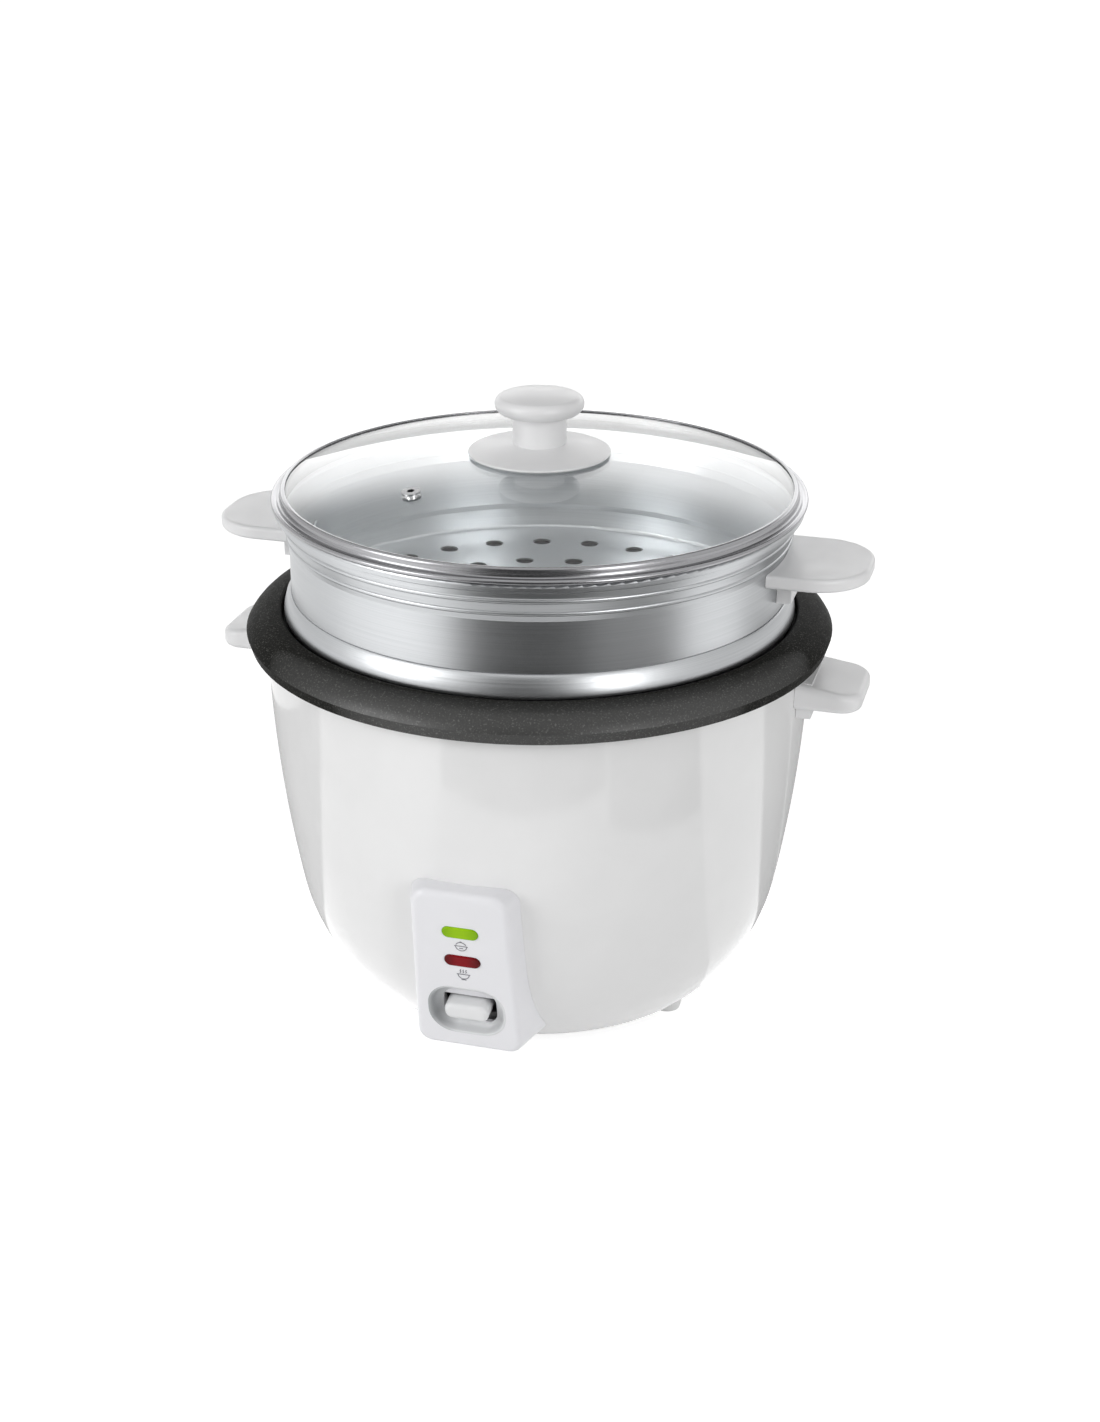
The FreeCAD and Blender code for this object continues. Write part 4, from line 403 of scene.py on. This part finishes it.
def rounded_outline(half_width, low, high, corner):
    """Points around a box with round corners, anticlockwise."""
    middles = [
        (half_width - corner, high - corner, 0),
        (corner - half_width, high - corner, 90),
        (corner - half_width, low + corner, 180),
        (half_width - corner, low + corner, 270),
    ]
    points = []
    for x, y, start in middles:
        for step in range(CORNER_STEPS + 1):
            angle = math.radians(start + 90 * step / CORNER_STEPS)
            points.append((x + corner * math.cos(angle), y + corner * math.sin(angle)))
    return points


def switch_ring(outline, inward):
    """An outline about the middle of the switch, in millimetres, set into the panel."""
    return [panel_place(x * MM, SWITCH_UP + y * MM, inward * MM) for x, y in outline]


# The switch's paddle, with rounded corners and a rounded front, in millimetres

PADDLE_REACH = 2.2
PADDLE_DEPTH = 12.0
PADDLE_HALF_WIDTH = 10.0
PADDLE_HALF_HEIGHT = 4.2
PADDLE_CORNER = 3.6
PADDLE_LEAST_CORNER = 0.4
PADDLE_EDGE = 2.3
PADDLE_FACE_INSET = PADDLE_EDGE * 1.6
PADDLE_EDGE_STEPS = 8


def paddle():
    layers = [(PADDLE_FACE_INSET, -PADDLE_REACH), (PADDLE_EDGE, -PADDLE_REACH)]
    for step in range(1, PADDLE_EDGE_STEPS + 1):
        angle = math.radians(90 * step / PADDLE_EDGE_STEPS)
        inset = PADDLE_EDGE * (1 - math.sin(angle))
        layers.append((inset, -PADDLE_REACH + PADDLE_EDGE * (1 - math.cos(angle))))
    layers.append((0, PADDLE_DEPTH))
    rings = []
    for inset, inward in layers:
        corner = max(PADDLE_CORNER - inset, PADDLE_LEAST_CORNER)
        outline = rounded_outline(PADDLE_HALF_WIDTH - inset, inset - PADDLE_HALF_HEIGHT,
                                  PADDLE_HALF_HEIGHT - inset, corner)
        rings.append(switch_ring(outline, inward))
    faces = bridge(rings) + end_caps(rings)
    return mesh_piece("paddle", rings, faces, own_finishes["switch_paddle"], "switch")


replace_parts(paddle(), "switch_paddle")


# The rounded wall of the switch's recess, in millimetres

DISH_HALF_WIDTH = 17.0
DISH_HALF_HEIGHT = 12.5
DISH_CORNER = 11.0
DISH_LOWER_SHARE = 0.6
DISH_LAYERS = [
    (-0.9, 0.05), (-0.6, -0.10), (-0.2, -0.12), (0.2, 0.02), (0.5, 0.45), (0.8, 1.2), (1.0, 2.2),
    (1.3, 3.2), (1.8, 4.05), (2.7, 4.6), (4.7, 4.85),
]


def dish():
    """Each layer is (inset, inward), and the insets are less along the lower edge."""
    rings = []
    for inset, inward in DISH_LAYERS:
        lower_inset = inset * DISH_LOWER_SHARE if inset > 0 else inset
        outline = rounded_outline(DISH_HALF_WIDTH - inset, lower_inset - DISH_HALF_HEIGHT,
                                  DISH_HALF_HEIGHT - inset, DISH_CORNER - inset)
        rings.append(switch_ring(outline, inward))
    return mesh_piece("recess_dish", rings, bridge(rings), own_finishes["recess_dish"], "base")


dish()


# Turned pieces: beads on the steamer's shoulder, its lower band, rounded out over the pot, and the lid's
# rim, rolled low around the glass. Profiles are closed, of (radius, height) in millimetres.

BEAD_SIZE = 0.8
BEAD_STRETCH = 1.3
BEAD_SIDES = 12
BEAD_STEPS = 192
PROFILE_STEPS = 256
LOWER_BAND = [
    (112.62, 194.9), (113.0, 194.5), (113.6, 193.6), (114.2, 192.5), (114.75, 191.3), (115.2, 190.1),
    (115.6, 188.8), (115.9, 187.5), (116.1, 186.2), (116.15, 185.0), (115.95, 184.2), (115.4, 183.8),
    (115.02, 183.9), (115.02, 190.95), (112.63, 194.25),
]
ROLLED_RIM = [
    (112.69, 230.6), (112.9, 230.5), (113.4, 230.5), (113.59, 230.7), (113.59, 235.8), (113.8, 236.0),
    (119.2, 236.0), (119.6, 236.12), (119.88, 236.45), (119.98, 236.9), (119.9, 237.4), (119.6, 237.85),
    (119.1, 238.1), (118.5, 238.2), (117.8, 238.1), (117.1, 237.85), (116.6, 237.75), (116.2, 237.95),
    (115.95, 238.5), (115.85, 239.5), (115.8, 240.6), (115.6, 241.3), (115.2, 241.75), (114.6, 241.95),
    (114.0, 241.95), (113.6, 241.8), (113.45, 241.55), (113.6, 241.32), (114.56, 241.06), (114.56, 237.1),
    (114.4, 236.95), (112.9, 236.9), (112.69, 236.7),
]


def bead_profile(radius, height):
    turns = [math.radians(360 * step / BEAD_SIDES) for step in range(BEAD_SIDES)]
    return [
        (radius + BEAD_SIZE * math.cos(turn), height + BEAD_SIZE * BEAD_STRETCH * math.sin(turn))
        for turn in turns
    ]


def turned_piece(name, profile, around, body, slot):
    rings = []
    for radius, height in profile:
        turns = [math.tau * spot / around for spot in range(around)]
        rings.append([
            (radius * MM * math.cos(turn), radius * MM * math.sin(turn), height * MM) for turn in turns
        ])
    return mesh_piece(name, rings, bridge(rings, closed=True), finishes[slot], body)


turned_piece("shoulder_bead_low", bead_profile(113.3, 221.4), BEAD_STEPS, "steamer", "satin_aluminium")
turned_piece("shoulder_bead_high", bead_profile(114.65, 227.2), BEAD_STEPS, "steamer", "satin_aluminium")
turned_piece("lower_band", LOWER_BAND, PROFILE_STEPS, "steamer", "satin_aluminium")
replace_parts(turned_piece("rolled_rim", ROLLED_RIM, PROFILE_STEPS, "lid", "stainless"), "lid_rim")


# The thermostat's springs. The plunger's spring is two halves,
# one for the motion of each end.

STEPS_PER_TURN = 40
WIRE_SIDES = 10


def spring(name, radius, wire, low, high, turns, body):
    """A coil of round wire, whose middle line runs between two heights, in millimetres."""
    steps = STEPS_PER_TURN * turns
    rings = []
    for step in range(steps + 1):
        share = step / steps
        turn = math.tau * turns * share
        outward = Vector((math.cos(turn), math.sin(turn), 0))
        middle = outward * radius + Vector((0, 0, low + (high - low) * share))
        ring = []
        for side in range(WIRE_SIDES):
            angle = math.tau * side / WIRE_SIDES
            upward = Vector((0, 0, wire * math.sin(angle)))
            ring.append((middle + outward * wire * math.cos(angle) + upward) * MM)
        rings.append(ring)
    faces = bridge(rings) + end_caps(rings)
    return mesh_piece(name, rings, faces, finishes["spring_steel"], body)


def shorten(piece):
    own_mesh(piece)


sensor_coil = spring("sensor_coil", radius=21.0, wire=0.6, low=40.612, high=52.0, turns=3, body="base")
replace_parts(sensor_coil, "sensor_spring")
shorten(sensor_coil)
upper_coil = spring("plunger_coil_upper", radius=10.75, wire=0.4, low=55.742, high=60.5, turns=2, body="sensor")
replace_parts(upper_coil, "plunger_spring")
shorten(upper_coil)
lower_coil = spring("plunger_coil_lower", radius=10.75, wire=0.4, low=50.983, high=55.742, turns=2, body="plunger")
shorten(lower_coil)


# Pictograms on the panel: a closed pot and a steaming bowl, each of thin printed strokes

MARK_SIZE = 0.0060
STROKE_SHARE = 0.032
INK_LIFT = 0.00006
ARC_STEPS = 20


def stroke_points(kind, *values):
    """Points of a stroke, in a frame one unit wide and high about the pictogram's middle."""
    if kind == "arc":
        x, y, radius, start, end = values
        angles = [math.radians(start + (end - start) * step / ARC_STEPS) for step in range(ARC_STEPS + 1)]
        return [(x + radius * math.cos(angle), y + radius * math.sin(angle)) for angle in angles]
    return list(values)


def pictogram(name, up, strokes, finish):
    line = bpy.data.curves.new(name, "CURVE")
    line.dimensions = "3D"
    line.bevel_depth = MARK_SIZE * STROKE_SHARE
    line.bevel_resolution = 2
    line.use_fill_caps = True
    for stroke in strokes:
        points = stroke_points(*stroke)
        spline = line.splines.new("POLY")
        spline.points.add(len(points) - 1)
        for point, (x, y) in zip(spline.points, points):
            point.co = (*panel_place(x * MARK_SIZE, up + y * MARK_SIZE, -INK_LIFT), 1)
    piece = bpy.data.objects.new(name, line)
    scene.collection.objects.link(piece)
    piece.data.materials.append(finish)
    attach(piece, "base")


ink = grained("grey_print", (0.16, 0.16, 0.18), (0.22, 0.22, 0.24), 1500, (0.45, 0.6), fine=4000)
pictogram("keep_warm_mark", 0.0579, [
    ("line", (-0.50, 0.10), (0.50, 0.10)),
    ("arc", 0, 0.10, 0.42, 180, 360),
    ("arc", 0, 0.02, 0.42, 28, 152),
    ("line", (-0.07, 0.50), (0.07, 0.50)),
    ("line", (-0.14, -0.10), (0.14, -0.10)),
], ink)
pictogram("cook_mark", 0.0423, [
    ("line", (-0.50, 0.06), (0.50, 0.06)),
    ("arc", 0, 0.06, 0.42, 180, 360),
    ("line", (-0.18, -0.44), (0.18, -0.44)),
    ("line", (-0.24, 0.20), (-0.18, 0.30), (-0.24, 0.40), (-0.18, 0.50)),
    ("line", (-0.03, 0.20), (0.03, 0.30), (-0.03, 0.40), (0.03, 0.50)),
    ("line", (0.18, 0.20), (0.24, 0.30), (0.18, 0.40), (0.24, 0.50)),
], ink)


# Camera at the photo's place

BEARING = math.radians(15.8)
PITCH = math.radians(23.66)
DISTANCE = 0.9591
HEIGHT = 0.5493
IMAGE_LONG = 1422
FOCAL_PIXELS = 2238.7
AXIS_OFF_CENTRE = 10.5

lens = bpy.data.cameras.new("camera")
lens.sensor_width = 36
lens.lens = FOCAL_PIXELS * lens.sensor_width / IMAGE_LONG
lens.shift_x = AXIS_OFF_CENTRE / IMAGE_LONG
lens.clip_end = 100
camera = bpy.data.objects.new("camera", lens)
camera.location = (DISTANCE * math.sin(BEARING), -DISTANCE * math.cos(BEARING), HEIGHT)
forward = Vector((
    -math.sin(BEARING) * math.cos(PITCH),
    math.cos(BEARING) * math.cos(PITCH),
    -math.sin(PITCH),
))
camera.rotation_mode = "QUATERNION"
camera.rotation_quaternion = forward.to_track_quat("-Z", "Y")
scene.collection.objects.link(camera)
scene.camera = camera


# Floor, world and lamps

FLOOR_HALF = 14.0
FLOOR_TONE = 0.82
FLOOR_GLOW = 0.70
WORLD_LIGHT = 0.40
WORLD_SEEN = 1.0


def seen_directly(tree):
    """One for rays from the camera, a mirror or glass, else nought."""
    path = tree.nodes.new("ShaderNodeLightPath")
    total = path.outputs["Is Camera Ray"]
    for name in ("Is Glossy Ray", "Is Transmission Ray"):
        total = calculate(tree, "MAXIMUM", total, path.outputs[name])
    return total


def flat_card(name, corners, finish):
    mesh = bpy.data.meshes.new(name)
    mesh.from_pydata(corners, [], [(0, 1, 2, 3)])
    mesh.materials.append(finish)
    card = bpy.data.objects.new(name, mesh)
    scene.collection.objects.link(card)
    return card


floor_finish, tree, shader = material("floor")
shader.inputs["Base Color"].default_value = (FLOOR_TONE, FLOOR_TONE, FLOOR_TONE, 1)
shader.inputs["Roughness"].default_value = 0.9
shader.inputs["Specular IOR Level"].default_value = 0.1
shader.inputs["Emission Color"].default_value = WHITE
glow = calculate(tree, "MULTIPLY", seen_directly(tree), FLOOR_GLOW)
join(tree, glow, shader.inputs["Emission Strength"])
flat_card("floor", [
    (-FLOOR_HALF, -FLOOR_HALF, 0), (FLOOR_HALF, -FLOOR_HALF, 0),
    (FLOOR_HALF, FLOOR_HALF, 0), (-FLOOR_HALF, FLOOR_HALF, 0),
], floor_finish)

world = bpy.data.worlds.new("studio")
scene.world = world
world.use_nodes = True
tree = world.node_tree
sky = tree.nodes["Background"]
sky.inputs["Color"].default_value = WHITE
join(tree, rescale(tree, seen_directly(tree), 0, 1, WORLD_LIGHT, WORLD_SEEN), sky.inputs["Strength"])

LAMP_TARGET = Vector((0, 0, 0.12))


def softbox(name, spot, width, height, power):
    lamp = bpy.data.lights.new(name, "AREA")
    lamp.shape = "RECTANGLE"
    lamp.size = width
    lamp.size_y = height
    lamp.energy = power
    holder = bpy.data.objects.new(name, lamp)
    holder.location = spot
    aim = LAMP_TARGET - Vector(spot)
    holder.rotation_mode = "QUATERNION"
    holder.rotation_quaternion = aim.to_track_quat("-Z", "Y")
    holder.visible_camera = False
    scene.collection.objects.link(holder)


softbox("key", (-1.3, -1.3, 0.8), width=0.9, height=1.1, power=15)
softbox("fill", (1.3, -1.2, 0.75), width=0.5, height=1.1, power=10.5)


# Studio cards, which only gloss shows. Dark, grey and lit ones lie on the floor around the object, a lit
# one that fades upwards stands behind it, and a dark one stands far in front.

CARD_LIFT = 0.002
CARD_GRAIN = 20
CARD_ROUGH = (0.8, 0.9)


def reflected_card(name, corners, finish):
    card = flat_card(name, corners, finish)
    card.visible_camera = False
    card.visible_diffuse = False
    card.visible_shadow = False
    card.visible_transmission = False


def floor_card(name, start, end, near, far, finish):
    """A card on the floor between two bearings from the front, towards +X, and two distances."""
    corners = []
    for bearing, reach in ((start, near), (start, far), (end, far), (end, near)):
        turn = math.radians(bearing)
        corners.append((reach * math.sin(turn), -reach * math.cos(turn), CARD_LIFT))
    reflected_card(name, corners, finish)


def upright_card(name, left, right, low, high, finish):
    """A card that stands between two (x, y) and two heights."""
    reflected_card(name, [(*left, low), (*right, low), (*right, high), (*left, high)], finish)


def paper(name, dark, light):
    return grained(name, (dark, dark, dark), (light, light, light), CARD_GRAIN, CARD_ROUGH)


def glowing(name, strength):
    made, tree, shader = material(name)
    cloud = noise(tree, 3, 2.0)
    join(tree, spread(tree, cloud, strength * 0.9, strength * 1.1), shader.inputs["Emission Strength"])
    shader.inputs["Emission Color"].default_value = WHITE
    shader.inputs["Base Color"].default_value = (0.5, 0.5, 0.5, 1)
    return made


def fading(name, start, end, low, high):
    """A glow that goes smoothly from low to high between two heights."""
    made, tree, shader = material(name)
    strength = rescale(tree, coordinate(tree, "Z"), start, end, low, high, "SMOOTHSTEP")
    join(tree, strength, shader.inputs["Emission Strength"])
    shader.inputs["Emission Color"].default_value = WHITE
    shader.inputs["Base Color"].default_value = (0.02, 0.02, 0.02, 1)
    shader.inputs["Roughness"].default_value = 1.0
    return made


dark_card = paper("dark_card", 0.04, 0.06)
grey_card = paper("grey_card", 0.36, 0.40)
pale_card = paper("pale_card", 0.84, 0.88)
bright_card = glowing("bright_card", 1.35)
lit_card = fading("lit_card", start=0.90, end=1.42, low=2.5, high=0.03)
for row in (
    ("front_card", -19, 39, 0.37, 1.5, dark_card),
    ("front_right_card", 40, 76, 0.30, 1.5, grey_card),
    ("right_card", 77, 110, 0.09, 1.0, bright_card),
    ("far_right_card", 111, 134, 0.09, 0.6, pale_card),
    ("rear_right_card", 135, 198, 0.09, 0.45, pale_card),
    ("left_card", -75, -20, 0.09, 1.0, bright_card),
    ("rear_left_card", -160, -76, 0.09, 0.5, pale_card),
):
    floor_card(*row)
upright_card("back_card", (-2.2, 1.7), (1.2, 1.7), 0.42, 2.8, lit_card)
upright_card("far_front_card", (-0.3, -1.55), (1.0, -1.2), 0.0, 1.3, dark_card)

scene.view_settings.view_transform = "Standard"
